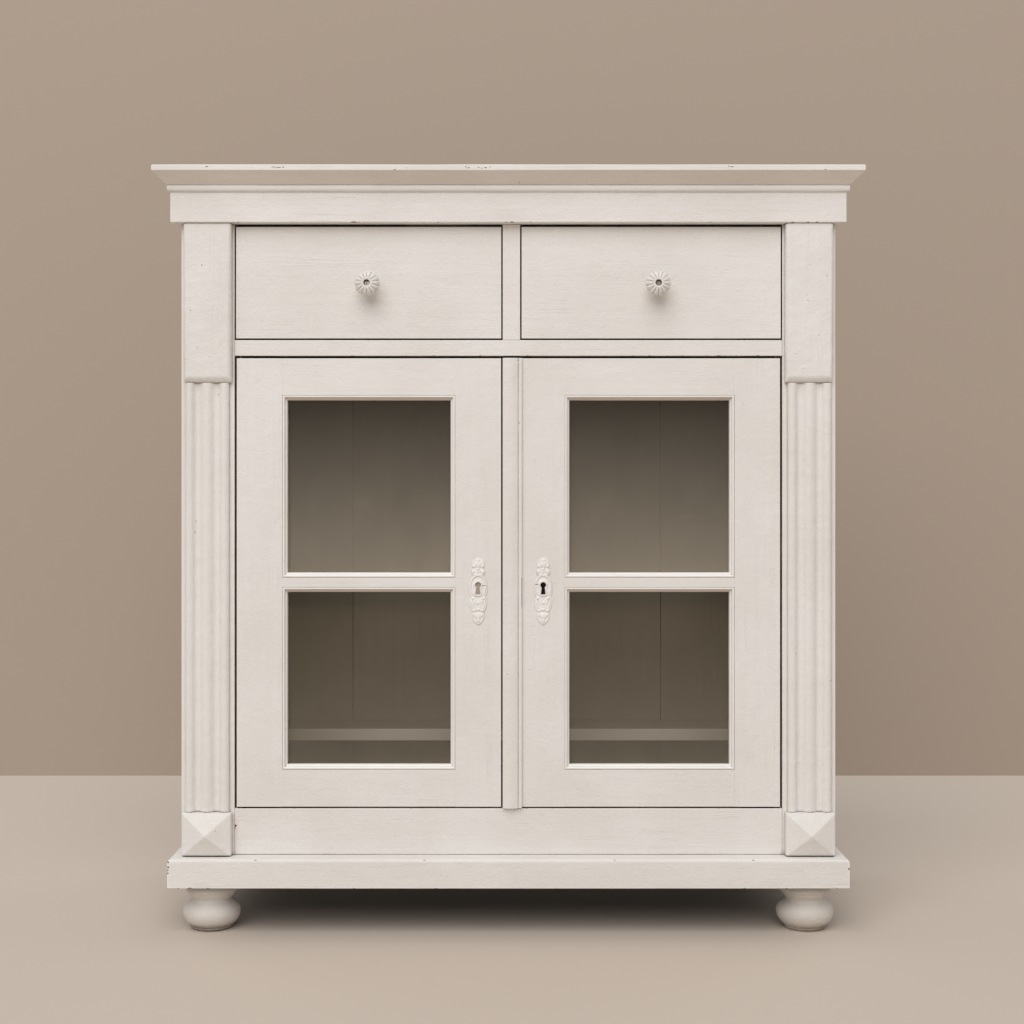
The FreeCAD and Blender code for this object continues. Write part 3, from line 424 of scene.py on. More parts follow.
def ease(piece, radius, chosen=None, segments=2, sharp=30):
    """Round the sharp edges; chosen(a, b) may pick them by their end points."""
    pick(piece)
    bpy.ops.object.mode_set(mode="EDIT")
    bpy.ops.mesh.select_mode(type="EDGE")
    bpy.ops.mesh.select_all(action="DESELECT")
    bpy.ops.mesh.edges_select_sharp(sharpness=math.radians(sharp))
    bpy.ops.object.mode_set(mode="OBJECT")
    points = piece.data.vertices
    for edge in piece.data.edges:
        if edge.select and chosen:
            a, b = (points[i].co for i in edge.vertices)
            edge.select = chosen(a, b)
    bpy.ops.object.mode_set(mode="EDIT")
    bpy.ops.mesh.bevel(offset=radius, offset_type="OFFSET", segments=segments, affect="EDGES", clamp_overlap=True)
    bpy.ops.mesh.select_mode(type="VERT")
    bpy.ops.object.mode_set(mode="OBJECT")


def eased(source, ending, body, slot, material, radius, segments=2, sharp=30):
    """A sawn piece in one finish, with only its edges rounded, seated on its body."""
    piece = board(source + ending, source)
    ease(piece, radius, None, segments, sharp)
    smooth(piece, 40)
    seat(piece, body, slot, material, source)


def bare_wood_colour(tree, place):
    fibres = noise(tree, scaled(tree, place, (60.0, 260.0, 260.0)), 4.0, 0.6)
    return blend_colour(tree, fade(tree, fibres, 0.3, 0.7), (0.150, 0.082, 0.040, 1), (0.35, 0.22, 0.125, 1))


def broken_wood():
    material, tree, shader, place = new_material("broken_wood")
    tree.links.new(bare_wood_colour(tree, place), shader.inputs["Base Color"])
    shader.inputs["Roughness"].default_value = 0.85
    shader.inputs["Specular IOR Level"].default_value = 0.2
    return material


def dull(name, tone):
    """A matt finish of one tone."""
    material, _, shader, _ = new_material(name)
    shader.inputs["Base Color"].default_value = tone
    shader.inputs["Roughness"].default_value = 0.95
    shader.inputs["Specular IOR Level"].default_value = 0.08
    return material


chip_wood = broken_wood()
# Near-black wood for undersides, inner faces and joints: painted shade, darker than the bare wood there.
shade_wood = dull("shade_wood", (0.030, 0.021, 0.014, 1.0))
flakes = random.Random(1887)


def facing(piece, material, axis, low, high):
    """Give the faces whose normals lie between two limits along one axis a finish of their own."""
    piece.data.materials.append(material)
    for face in piece.data.polygons:
        if low < getattr(face.normal, axis) < high:
            face.material_index = len(piece.data.materials) - 1


def cut_away(piece, cutter, lapping=False):
    """Take a cutter's shape out of a piece; lapping is for a cutter whose lumps run into each other."""
    modify(piece, "BOOLEAN", operation="DIFFERENCE", solver="EXACT", use_self=lapping, material_mode="TRANSFER",
           object=cutter)
    bpy.data.objects.remove(cutter)


def chip(piece, spots, bared=chip_wood):
    """Knock flakes out of a piece, down to bare wood or paint; a spot is (x, y, z, half length, half depth)."""
    cutters = []
    for x, y, z, half, depth in spots:
        let_go()
        bpy.ops.mesh.primitive_ico_sphere_add(subdivisions=2, radius=1.0, location=(0, 0, 0))
        cutter = bpy.context.object
        for point in cutter.data.vertices:
            swell = flakes.uniform(0.72, 1.15)
            point.co = Vector((x + point.co.x * half * swell, y + point.co.y * depth * swell,
                               z + point.co.z * depth * swell))
        cutters.append(cutter)
    cutter = join(cutters, piece.name + "_flakes")
    cutter.data.materials.append(bared)
    cut_away(piece, cutter, bared is chip_wood)


def dress(piece, material):
    """Give the first finish to a piece before its flakes bring the bare wood."""
    piece.data.materials.clear()
    piece.data.materials.append(material)
    return piece


def rounded(out, height, radius, start, stop, steps=5):
    """A quarter round in a moulding's outline, in degrees from straight out up to straight up."""
    turns = [math.radians(start + (stop - start) * i / steps) for i in range(steps + 1)]
    return [(out + radius * math.cos(turn), height + radius * math.sin(turn)) for turn in turns]


def mitred(name, outline, half_width, front, back, pitch=0.04, inset=0.0):
    """A moulding round the front and both sides: outline holds (out, height) points, pitch is the spacing of its
    sections along the front, and inset is how much thinner its sides are at the back."""
    steps = round(2 * half_width / pitch)
    shares = [-1 + 2 * i / steps for i in range(steps + 1)]
    points = [(-half_width - max(out, inset), back, height) for out, height in outline]
    for share in shares:
        points += [(share * (half_width + max(out, inset)), front - out, height) for out, height in outline]
    points += [(half_width + max(out, inset), back, height) for out, height in outline]
    count = len(outline)
    last = len(points) - count
    faces = [tuple(range(count)), tuple(range(last, last + count))]
    for start in range(0, last, count):
        for i in range(count):
            j = (i + 1) % count
            faces.append((start + i, start + j, start + count + j, start + count + i))
    piece = blank_piece(name, points, [], faces)
    seal(piece)
    return piece


def plank(name, low, high):
    """A sawn board between two corners."""
    let_go()
    bpy.ops.mesh.primitive_cube_add(size=1.0, location=(0, 0, 0))
    piece = bpy.context.object
    piece.name = piece.data.name = name
    for point in piece.data.vertices:
        point.co = [low[i] if point.co[i] < 0 else high[i] for i in range(3)]
    return piece


paint_level = painted("paint_level", level)
# The plinth's rounded top edge is made lighter: worn paint and a painted highlight.
paint_plinth = painted("paint_plinth", level, wear=-0.22, reach=0.005, rub_highlight=1.0)

plinth_low, plinth_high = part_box("plinth_frame")
plinth_board = 0.100
plinth_arris = 0.005
heel = plinth_board - plinth_arris
section = [(0.0, plinth_low.z), (plinth_board - 0.001, plinth_low.z), (plinth_board, plinth_low.z + 0.001)]
section += rounded(heel, plinth_high.z - plinth_arris, plinth_arris, 0, 90, 6) + [(0.0, plinth_high.z)]
plinth = mitred("plinth_painted", section, plinth_high.x - plinth_board, plinth_low.y + plinth_board, plinth_high.y)
inner = plinth_high.x - plinth_board - 0.0002
back_rail = plank("plinth_back", (-inner, plinth_high.y - plinth_board, plinth_low.z),
                  (inner, plinth_high.y, plinth_high.z))
hand_made(plinth, 0.0005, 0.05, "plinth_hand")
keep_in(plinth, plinth_low, plinth_high)
dress(plinth, paint_plinth)
# Its underside and inner faces are near black: painted shade under the cabinet.
facing(plinth, shade_wood, "z", -1.1, -0.9)
for face in plinth.data.polygons:
    if abs(face.center.x) < inner + 0.001 and face.center.y > plinth_low.y + heel:
        face.material_index = 1
front_y = plinth_low.y
low_z = plinth_low.z
spots = []
for along in (-0.4722, -0.4566, -0.4549, -0.4296, -0.3985, -0.2210, -0.104, 0.067, 0.215, 0.338, 0.3975,
              0.4705):
    spots.append((along, front_y, low_z, flakes.uniform(0.0012, 0.0034), flakes.uniform(0.0009, 0.0017)))
for along, height, half in ((-0.4868, 0.0992, 0.0022), (-0.4874, 0.0950, 0.0018), (-0.4872, 0.0905, 0.0013),
                            (-0.4866, 0.1062, 0.0016), (0.4870, 0.0968, 0.0015)):
    spots.append((along, front_y + 0.0006, height, half, 0.0017))
for along in (-0.362, -0.1205, 0.152, 0.3505):
    spots.append((along, front_y + 0.0012, plinth_high.z - 0.0012, flakes.uniform(0.001, 0.003), 0.0009))
chip(plinth, spots)
dress(back_rail, paint_plinth)
# The back rail's underside is near black too, as painted shade.
facing(back_rail, shade_wood, "z", -1.1, -0.9)
plinth = join([plinth, back_rail], "plinth_painted")
smooth(plinth, 40)
seat(plinth, "carcass", "painted_wood", None, "plinth_frame")


# ---------------------------------------------------------------- face frame
# Stiles, rails, apron and divider of the front, glued up flat.  Their joints are filled with paint and show as
# hairlines, darkened with dirt and painted shade, and the arrises round the openings are rubbed and carry a painted
# highlight.
paint_upright = painted("paint_upright", upright, deep_shade=0.85, line=dusty_joint_shade)
paint_apron = painted("paint_apron", level, wear=-0.18, deep_shade=0.7, line=dusty_joint_shade)

for source, material, radius in (
    ("face_stiles", paint_upright, 0.0007), ("apron", paint_apron, 0.0010), ("mid_rail", paint_level, 0.0010),
    ("top_rail", paint_level, 0.0005), ("drawer_divider", paint_upright, 0.0008),
):
    piece = board(source + "_painted", source)
    ease(piece, radius)
    dress(piece, material)
    low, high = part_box(source)
    if source == "mid_rail":
        spots = []
        for along in (-0.371, -0.292, -0.226, -0.108, -0.041, 0.028, 0.119, 0.1635, 0.1812, 0.2045, 0.2305, 0.2525,
                      0.2875, 0.3045, 0.331, 0.362):
            half = flakes.uniform(0.0012, 0.0045)
            spots.append((along, low.y, low.z, half, flakes.uniform(0.0006, 0.0011)))
            spots.append((along + flakes.uniform(-0.03, 0.03), low.y, high.z, half * 0.7, 0.0006))
        chip(piece, spots)
    if source == "apron":
        spots = [(low.x + 0.0016, low.y, 0.1526, 0.0022, 0.0018), (low.x + 0.0005, low.y, 0.1496, 0.0012, 0.0026)]
        for along in (-0.31, -0.142, 0.026, 0.131, 0.305):
            spots.append((along, low.y, high.z, flakes.uniform(0.001, 0.003), 0.0007))
        chip(piece, spots)
    smooth(piece, 40)
    seat(piece, "carcass", "painted_wood", None, source)


# ---------------------------------------------------------------- side panels, back, floor and shelf
# Plain softwood boards.  The sides are painted like the front, and the inside is a thin grey olive.  The back
# boards stand upright with open joints, and their wall side was never painted.
def sawn_grain():
    """Softwood: bands of early and late wood drawn out along the board, and short pores."""
    inputs = [("Place", "Vector"), ("Grain", "Vector"), ("Early", "Color"), ("Late", "Color")]
    outputs = [("Color", "Color"), ("Roughness", "Float"), ("Height", "Float")]
    tree, given, end = new_group("sawn_grain", inputs, outputs)
    place = given["Place"]
    figure = noise(tree, scaled(tree, place, given["Grain"]), 2.0, 0.5, 0.8)
    bands = calc(tree, "SINE", calc(tree, "MULTIPLY", figure, 60.0))
    fine = scaled(tree, given["Grain"], 14.0)
    pores = noise(tree, scaled(tree, place, fine), 4.0, 0.65)
    stain = noise(tree, scaled(tree, place, 7.0), 3.0, 0.6)
    share = calc(tree, "MULTIPLY", fade(tree, bands, -0.4, 1.0), 0.45)
    share = calc(tree, "MULTIPLY_ADD", fade(tree, pores, 0.45, 0.75), 0.35, share)
    share = calc(tree, "MULTIPLY_ADD", fade(tree, stain, 0.4, 0.75), 0.3, share)
    colour = blend_colour(tree, share, given["Early"], given["Late"])
    height = calc(tree, "MULTIPLY_ADD", pores, 0.10, calc(tree, "MULTIPLY", bands, 0.015))
    rough = calc(tree, "MULTIPLY_ADD", pores, 0.2, 0.6)
    give(tree, end, Color=colour, Roughness=rough, Height=height)
    return tree


effects["grain"] = sawn_grain()


def bare(name, grain, early=(0.43, 0.29, 0.165, 1.0), late=(0.235, 0.140, 0.075, 1.0)):
    material, tree, shader, place = new_material(name)
    wood = effect(tree, "grain", {"Place": place, "Grain": grain, "Early": early, "Late": late})
    dust_and_shade = effect(tree, "dirt_and_shade", {"Place": place, "Reach": 0.015})
    # A darker brown in corners: dust and painted shade.
    colour = blend_colour(tree, calc(tree, "MULTIPLY", dust_and_shade["Mask"], 0.5), wood["Color"], (0.08, 0.055, 0.035, 1))
    surface(tree, shader, colour, wood["Roughness"], wood["Height"], 0.25)
    return material


olive = (0.225, 0.180, 0.113, 1.0)
olive_low = (0.172, 0.135, 0.082, 1.0)
inside_upright = painted("inside_upright", upright, -0.3, 0.0015, olive, olive_low, 0.6, rub_highlight=0.0, relief=0.12)
inside_level = painted("inside_level", lengthways, -0.3, 0.0015, olive, olive_low, 0.6, rub_highlight=0.1, relief=0.12)
shelf_top = painted("inside_shelf_top", lengthways, -0.3, 0.0015, (0.40, 0.330, 0.240, 1.0),
                    (0.330, 0.268, 0.188, 1.0), 0.5, rub_highlight=0.2, relief=0.5)
shelf_edge = painted("inside_shelf_edge", lengthways, -0.3, 0.0015, (0.86, 0.78, 0.66, 1.0), (0.80, 0.71, 0.58, 1.0),
                     0.3, rub_highlight=0.2, relief=0.5)
grey_early = (0.36, 0.275, 0.19, 1.0)
grey_late = (0.20, 0.145, 0.095, 1.0)
wood_upright = bare("wood_upright", (42.0, 42.0, 2.2), grey_early, grey_late)
wood_level = bare("wood_level", (2.2, 2.2, 42.0))

for side, low, high in (("left", 0.7, 1.1), ("right", -1.1, -0.7)):
    source = "side_panel_" + side
    piece = board(source + "_painted", source)
    ease(piece, 0.0008)
    dress(piece, paint_upright)
    facing(piece, inside_upright, "x", low, high)
    smooth(piece, 40)
    seat(piece, "carcass", "painted_wood", None, source)

back = board("back_boards_painted", "back_boards")
ease(back, 0.0008)
dress(back, inside_upright)
facing(back, wood_upright, "y", 0.7, 1.1)
smooth(back, 40)
seat(back, "carcass", "inner_wood", None, "back_boards")

# Tongues close the joints between the back boards; their near black is painted shade in the joints.
back_low, back_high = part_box("back_boards")
seams = sorted({round(point.co.x, 4) for point in nodes["back_boards"].data.vertices})
tongues = [plank("tongue", (a, back_low.y + 0.0025, back_low.z), (b, back_high.y - 0.0025, back_high.z))
           for a, b in zip(seams, seams[1:]) if b - a < 0.004]
if tongues:
    tongue = join(tongues, "back_tongues")
    seat(tongue, "carcass", "inner_wood", shade_wood)

for source in ("bottom_board", "dust_board", "plate_shelf", "shelf_cleats", "door_stops"):
    piece = board(source + "_painted", source)
    ease(piece, 0.0012)
    dress(piece, shelf_top if source == "plate_shelf" else inside_level)
    if source == "plate_shelf":
        facing(piece, shelf_edge, "y", -1.1, -0.7)
    # The bottom board's underside is near black: painted shade under the cabinet.
    if source == "bottom_board":
        facing(piece, shade_wood, "z", -1.1, -0.9)
    smooth(piece, 40)
    seat(piece, "carcass", "inner_wood", None, source)

for source in ("drawer_runners", "drawer_guides", "drawer_kickers", "drawer_stops", "drawer_partition"):
    eased(source, "_sawn", "carcass", "bare_wood", wood_level, 0.0006)


# ---------------------------------------------------------------- pilasters
# On each stile a plain head block, a shaft of three reeds and a diamond-pointed block, planed by hand and
# thick with paint, so that their arrises are soft and their faces a little uneven.
def thick_paint(piece, cell, amount, grain, rounds=2):
    """Draw one even skin over a piece and soften it, as several coats do."""
    modify(piece, "REMESH", mode="VOXEL", voxel_size=cell)
    modify(piece, "SMOOTH", factor=0.5, iterations=rounds)
    if amount:
        hand_made(piece, amount, grain, piece.name)


paint_pilaster = painted("paint_pilaster", upright, wear=-0.2, reach=0.0020, deep_shade=0.75, line=dusty_joint_shade)
undercut = 0.0045
open_joint = 0.0011

for side in ("left", "right"):
    source = "head_block_" + side
    piece = board(source + "_painted", source)
    low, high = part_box(source)
    for point in piece.data.vertices:
        up = point.co.z - low.z
        if up < undercut:
            point.co.z = low.z + 2.0 * up
            if point.co.y < high.y - 0.001:
                point.co.y += 0.8 * (undercut - up)
    thick_paint(piece, 0.0013, 0.0011, 0.022)
    keep_in(piece, low, high)
    dress(piece, paint_pilaster)
    if side == "left":
        dents = ((-0.4585, 0.8980, 0.0014), (-0.4490, 0.8435, 0.0018), (-0.4305, 0.8310, 0.0012),
                 (-0.4012, 0.8195, 0.0016), (-0.4640, 0.8270, 0.0012), (-0.4420, 0.9630, 0.0010))
    else:
        dents = ((0.4320, 0.9120, 0.0014), (0.4480, 0.8620, 0.0012), (0.4150, 0.8350, 0.0018),
                 (0.4590, 0.9480, 0.0012), (0.4250, 0.8130, 0.0012))
    chip(piece, [(x, low.y + 0.0003, z, half, 0.0012) for x, z, half in dents], paint_pilaster)
    smooth(piece, 60, False)
    seat(piece, "carcass", "painted_wood", None, source)

    source = "reeded_shaft_" + side
    piece = board(source + "_painted", source)
    low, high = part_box(source)
    thick_paint(piece, 0.0017, 0.0007, 0.022, 1)
    keep_in(piece, low, high)
    smooth(piece, 60, False)
    seat(piece, "carcass", "painted_wood", paint_pilaster, source)

    source = "diamond_block_" + side
    piece = board(source + "_painted", source)
    low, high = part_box(source)
    for point in piece.data.vertices:
        if point.co.z < low.z + 0.0001:
            point.co.z += open_joint
    ease(piece, 0.0012, lambda a, b: a.y < low.y + 0.0135 and b.y < low.y + 0.0135 and a.z + b.z > 2 * low.z, 3, 20)
    smooth(piece, 30)
    seat(piece, "carcass", "painted_wood", paint_pilaster, source)


# ---------------------------------------------------------------- cornice
# Frieze board, half-round bead and a bevelled crown with a square edge, mitred round three sides, and the top
# board let in behind.  The paint has flaked along the frieze's lower edge and the crown's square edge.
# The cornice's arrises are lightened: worn paint and a painted highlight on the crown's square edge.
paint_cornice = painted("paint_cornice", level, wear=-0.10, reach=0.0030, rub_highlight=0.6)
paint_top = painted("paint_top", lengthways, wear=-0.1)
# A darker paint for the crown's bevel, which looks down: painted shade.
paint_bevel_shaded = painted("paint_bevel_shaded", level, -0.15, 0.0020, (0.745, 0.680, 0.615, 1.0), (0.680, 0.612, 0.545, 1.0))

frieze_low, frieze_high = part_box("frieze")
frieze_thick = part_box("face_stiles")[0].y - frieze_low.y
arris = 0.0016
section = [(0.0, frieze_low.z)] + rounded(frieze_thick - arris, frieze_low.z + arris, arris, -90, 0)
section += [(frieze_thick, frieze_high.z), (0.0, frieze_high.z)]
half_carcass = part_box("side_panel_right")[1].x
frieze = mitred("frieze_painted", section, frieze_high.x - frieze_thick, frieze_low.y + frieze_thick, frieze_high.y,
                inset=half_carcass - frieze_high.x + frieze_thick)
dress(frieze, paint_cornice)
spots = []
for along, half, depth in (
    (-0.4480, 0.0016, 0.0008), (-0.3963, 0.0018, 0.0010), (-0.3891, 0.0024, 0.0012), (-0.3855, 0.0010, 0.0009),
    (-0.3105, 0.0014, 0.0008), (-0.2229, 0.0056, 0.0018), (-0.2150, 0.0018, 0.0010), (-0.1480, 0.0012, 0.0007),
    (-0.1010, 0.0020, 0.0009), (-0.0030, 0.0032, 0.0013), (0.0052, 0.0036, 0.0014), (0.0325, 0.0013, 0.0014),
    (0.1180, 0.0018, 0.0008), (0.2065, 0.0012, 0.0007), (0.2910, 0.0026, 0.0009), (0.3720, 0.0014, 0.0008),
    (0.4095, 0.0026, 0.0012), (0.4311, 0.0030, 0.0012), (0.4441, 0.0026, 0.0013), (0.4700, 0.0012, 0.0008),
):
    spots.append((along, frieze_low.y + 0.0002, frieze_low.z, half, depth))
chip(frieze, spots)
smooth(frieze, 40)
seat(frieze, "carcass", "painted_wood", None, "frieze")

bead_low, bead_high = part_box("bead_moulding")
bead_thick = frieze_thick + frieze_low.y - bead_low.y
section = [(0.0, bead_low.z)]
for inside, up in ((3.5, 0.0), (2.2, 0.6), (1.0, 1.8), (0.3, 3.4), (0.0, 5.0), (0.3, 6.8), (0.8, 8.4), (1.4, 10.0)):
    section.append((bead_thick - inside / 1000, bead_low.z + up / 1000))
section.append((0.0, bead_high.z))
bead = mitred("bead_painted", section, bead_high.x - bead_thick, bead_low.y + bead_thick, bead_high.y,
              inset=half_carcass - bead_high.x + bead_thick)
hand_made(bead, 0.0006, 0.03, "bead_hand")
keep_in(bead, bead_low, bead_high)
smooth(bead, 40)
seat(bead, "carcass", "painted_wood", paint_cornice, "bead_moulding")

crown_low, crown_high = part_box("crown_moulding")
crown_thick = 0.040
crown_run = 0.018
crown_lip = crown_high.z - 0.009
lip = 0.0013
crest = 0.0022
section = [(0.0, crown_low.z), (crown_thick - crown_run, crown_low.z)]
section += rounded(crown_thick - lip, crown_lip + lip, lip, -48, 0, 4)
section += rounded(crown_thick - crest, crown_high.z - crest, crest, 0, 90) + [(0.0, crown_high.z)]
crown = mitred("crown_painted", section, crown_high.x - crown_thick, crown_low.y + crown_thick, crown_high.y)
hand_made(crown, 0.0007, 0.04, "crown_hand")
keep_in(crown, crown_low, crown_high)
dress(crown, paint_cornice)
# The faces that look down take the darker paint, as painted shade.
facing(crown, paint_bevel_shaded, "z", -0.9, -0.5)
spots = []
for along, down, half in ((-0.4300, 0.0036, 0.0022), (-0.3345, 0.0042, 0.0036), (-0.3275, 0.0049, 0.0044),
                          (-0.3212, 0.0044, 0.0018), (-0.1620, 0.0080, 0.0020), (-0.0608, 0.0040, 0.0014),
                          (-0.0566, 0.0052, 0.0022), (-0.0425, 0.0046, 0.0018), (-0.0378, 0.0058, 0.0014),
                          (-0.0325, 0.0051, 0.0024), (-0.0262, 0.0042, 0.0012), (0.3140, 0.0030, 0.0018),
                          (0.3188, 0.0038, 0.0030), (0.4520, 0.0078, 0.0020)):
    spots.append((along, crown_low.y, crown_high.z - down, half, flakes.uniform(0.0005, 0.0008)))
chip(crown, spots)
smooth(crown, 40)
seat(crown, "carcass", "painted_wood", None, "crown_moulding")

eased("top_board", "_painted", "carcass", "painted_wood", paint_top, 0.0004)


# ---------------------------------------------------------------- doors
# Stiles and rails tenoned together round two panes each, with a small ovolo planted round the glass.  The rails'
# shoulders show as hairlines, darkened with dirt and painted shade, and the outer arrises are rubbed and carry a
# painted highlight.
paint_door_upright = painted("paint_door_upright", upright, wear=-0.16, reach=0.0018, deep_shade=0.9, line=dusty_joint_shade)
paint_door_level = painted("paint_door_level", level, wear=-0.16, reach=0.0018, deep_shade=0.85, line=dusty_joint_shade)
# The glazing strips' paint is lighter, as painted highlight, with dirt and painted shade in their quirks.
paint_strip = painted("paint_strip", turned, -0.2, 0.0012, (0.85, 0.82, 0.785, 1.0), off_white, 0.62, 0.0030)
strip_lit_over = painted("strip_lit_over", lengthways, -0.2, 0.0012, (0.93, 0.905, 0.875, 1.0), (0.86, 0.83, 0.795, 1.0), 0.4,
                     0.0022)
strip_shaded_under = painted("strip_shaded_under", lengthways, -0.2, 0.0012, (0.66, 0.585, 0.510, 1.0), (0.60, 0.525, 0.450, 1.0),
                      0.7, 0.0030, rub_highlight=0.2)
# The cover strip's paint gathers more dirt: dust and painted shade along the joints beside it.
paint_astragal = painted("paint_astragal", upright, -0.16, 0.0018, dirt_and_shade=0.75, corner=0.0045)

for side in ("left", "right"):
    body = side + "_door"
    for part, material in (("_stiles", paint_door_upright), ("_rails", paint_door_level)):
        eased(body + part, "_painted", body, "painted_wood", material, 0.0004)
    source = body + "_mouldings"
    piece = board(source + "_painted", source)
    ease(piece, 0.00035, sharp=40)
    dress(piece, paint_strip)
    # Faces that look up take a lighter paint and faces that look down a darker one: painted highlight and painted
    # shade.
    facing(piece, strip_lit_over, "z", 0.25, 1.1)
    facing(piece, strip_shaded_under, "z", -1.1, -0.25)
    smooth(piece, 40)
    seat(piece, body, "painted_wood", None, source)


# The cover strip on the right door's meeting edge: one moulded strip, sprung open a little along its right side
# below the lock.  The open joint is lined with near-black wood, painted shade in the gap.
strip = board("astragal_painted", "astragal")
ease(strip, 0.0004, sharp=40)
strip_low, strip_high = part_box("astragal")
gap = plank("sprung", (strip_high.x - 0.0008, strip_low.y - 0.001, 0.4695),
            (strip_high.x + 0.001, strip_high.y, 0.5115))
gap.data.materials.append(shade_wood)
dress(strip, paint_astragal)
cut_away(strip, gap)
smooth(strip, 40)
seat(strip, "right_door", "painted_wood", None, "astragal")


# ---------------------------------------------------------------- window glass
# Thin old sheet glass in every door opening.  It is clear and faintly wavy, under a pale film that thickens
# towards each pane's foot, so that each pane grows lighter downwards.
def window_glass(low, pitch):
    """Clear panes, one above another at a pitch; low is the lowest pane's foot, where the film is thickest."""
    material, tree, shader, place = new_material("window_glass")
    wave = noise(tree, scaled(tree, place, (9.0, 9.0, 6.0)), 1.0, 0.4)
    bump = node(tree, "ShaderNodeBump", {"Strength": 0.25, "Distance": 0.001, "Height": wave})
    tree.links.new(bump.outputs[0], shader.inputs["Normal"])
    height = node(tree, "ShaderNodeSeparateXYZ", {0: place}).outputs[2]
    panes_up = calc(tree, "DIVIDE", calc(tree, "SUBTRACT", height, low), pitch)
    rise = calc(tree, "FRACT", panes_up)
    upper = calc(tree, "GREATER_THAN", panes_up, 1.0)
    film = calc(tree, "MULTIPLY_ADD", rise, -1.15, 1.0, clamp=True)
    film = calc(tree, "MULTIPLY", film, calc(tree, "MULTIPLY_ADD", upper, 0.075, 0.085))
    film = calc(tree, "MULTIPLY_ADD", upper, 0.015, film)
    cloud = fade(tree, noise(tree, scaled(tree, place, (22.0, 22.0, 14.0)), 4.0, 0.6), 0.2, 0.8, 0.90, 1.10)
    film = calc(tree, "MULTIPLY", film, cloud)
    mirror = node(tree, "ShaderNodeFresnel", {"IOR": 1.5}).outputs[0]
    cover = calc(tree, "ADD", mirror, film, clamp=True)
    tree.links.new(cover, shader.inputs["Alpha"])
    tree.links.new(calc(tree, "DIVIDE", mirror, cover), shader.inputs["Metallic"])
    tree.links.new(calc(tree, "MULTIPLY_ADD", film, 2.0, 0.04), shader.inputs["Roughness"])
    shader.inputs["Base Color"].default_value = (0.74, 0.65, 0.52, 1.0)
    return material


pane_low, pane_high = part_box("left_door_panes")
pane_spacing = 0.0152
pane_pitch = (pane_high.z - pane_low.z + pane_spacing) / 2
glass = window_glass(pane_low.z, pane_pitch)
for side in ("left", "right"):
    for place in nodes[side + "_door_panes"].material_slots:
        place.material = glass


# ---------------------------------------------------------------- keyhole plates
# Cast plates pinned to both lock stiles and painted over with them: a leaf, a flower, a ring round the keyhole,
# a heart with two curled ears, and a leaf pointing down.  The left one is a dummy, its hole choked with paint.
# Both holes are darkened as painted shade, and dirt with painted shade lies in the casting's hollows.
# The casting's paint gathers dark dirt in its hollows: dust and painted shade.
paint_cast = painted("paint_cast", turned, -0.28, 0.0008, (0.86, 0.835, 0.805, 1.0), off_white, 0.95, 0.0045)


cast_cell = 0.00032
hole_cell = 0.0003
hole_radius = 0.0040
hole_drop = 0.0138
plate_ground = 0.0017


def boss(x, y, z, wide, high, proud):
    """A low round swelling."""
    let_go()
    bpy.ops.mesh.primitive_uv_sphere_add(segments=24, ring_count=12, radius=1.0, location=(0, 0, 0))
    piece = bpy.context.object
    for point in piece.data.vertices:
        point.co = Vector((x + point.co.x * wide, y + point.co.y * proud, z + point.co.z * high))
    return piece


def rope(points, radius):
    """A round rib along a line of points, thinned at both ends."""
    let_go()
    line = bpy.data.curves.new("rib", "CURVE")
    line.dimensions = "3D"
    line.bevel_depth = radius
    line.bevel_resolution = 3
    line.use_fill_caps = True
    spline = line.splines.new("POLY")
    spline.points.add(len(points) - 1)
    for i, (x, y, z) in enumerate(points):
        spline.points[i].co = (x, y, z, 1.0)
        spline.points[i].radius = 0.55 + 0.45 * math.sin(math.pi * i / (len(points) - 1))
    piece = bpy.data.objects.new("rib", line)
    bpy.context.scene.collection.objects.link(piece)
    pick(piece)
    bpy.ops.object.convert(target="MESH")
    return bpy.context.object


def arc_points(x, y, z, wide, high, start, stop, steps):
    """Points along part of an ellipse that faces the viewer; degrees run from +X up to +Z."""
    points = []
    for i in range(steps + 1):
        turn = math.radians(start + (stop - start) * i / steps)
        points.append((x + wide * math.cos(turn), y, z + high * math.sin(turn)))
    return points


def keyhole_cutter(x, z, y0, y1):
    """A round head over a foot that widens downwards, between two depths; z is the head's centre."""
    let_go()
    bpy.ops.mesh.primitive_cylinder_add(vertices=40, radius=hole_radius, depth=y1 - y0, location=(x, (y0 + y1) / 2, z),
                                        rotation=(math.radians(90), 0, 0))
    head = bpy.context.object
    bpy.ops.object.transform_apply(location=True, rotation=True, scale=True)
    foot = plank("foot", (x - 1, y0, z - hole_drop), (x + 1, y1, z))
    for point in foot.data.vertices:
        half = 0.0018 if point.co.z > z - 0.001 else 0.0034
        point.co.x = x + math.copysign(half, point.co.x - x)
    cutter = join([head, foot], "keyhole_cutter")
    modify(cutter, "REMESH", mode="VOXEL", voxel_size=hole_cell)
    return cutter


# The choked hole's floor is darker than the paint, and the open hole's walls are near black: painted shade.
choked_and_shaded = dull("choked_hole_shaded", (0.43, 0.37, 0.31, 1.0))
open_dark = dull("open_hole_shade", (0.014, 0.010, 0.007, 1.0))


def dent(x, y, z, radius):
    """A small round hollow to be pressed into a casting."""
    let_go()
    bpy.ops.mesh.primitive_ico_sphere_add(subdivisions=2, radius=radius, location=(x, y, z))
    piece = bpy.context.object
    bpy.ops.object.transform_apply(location=True)
    return piece


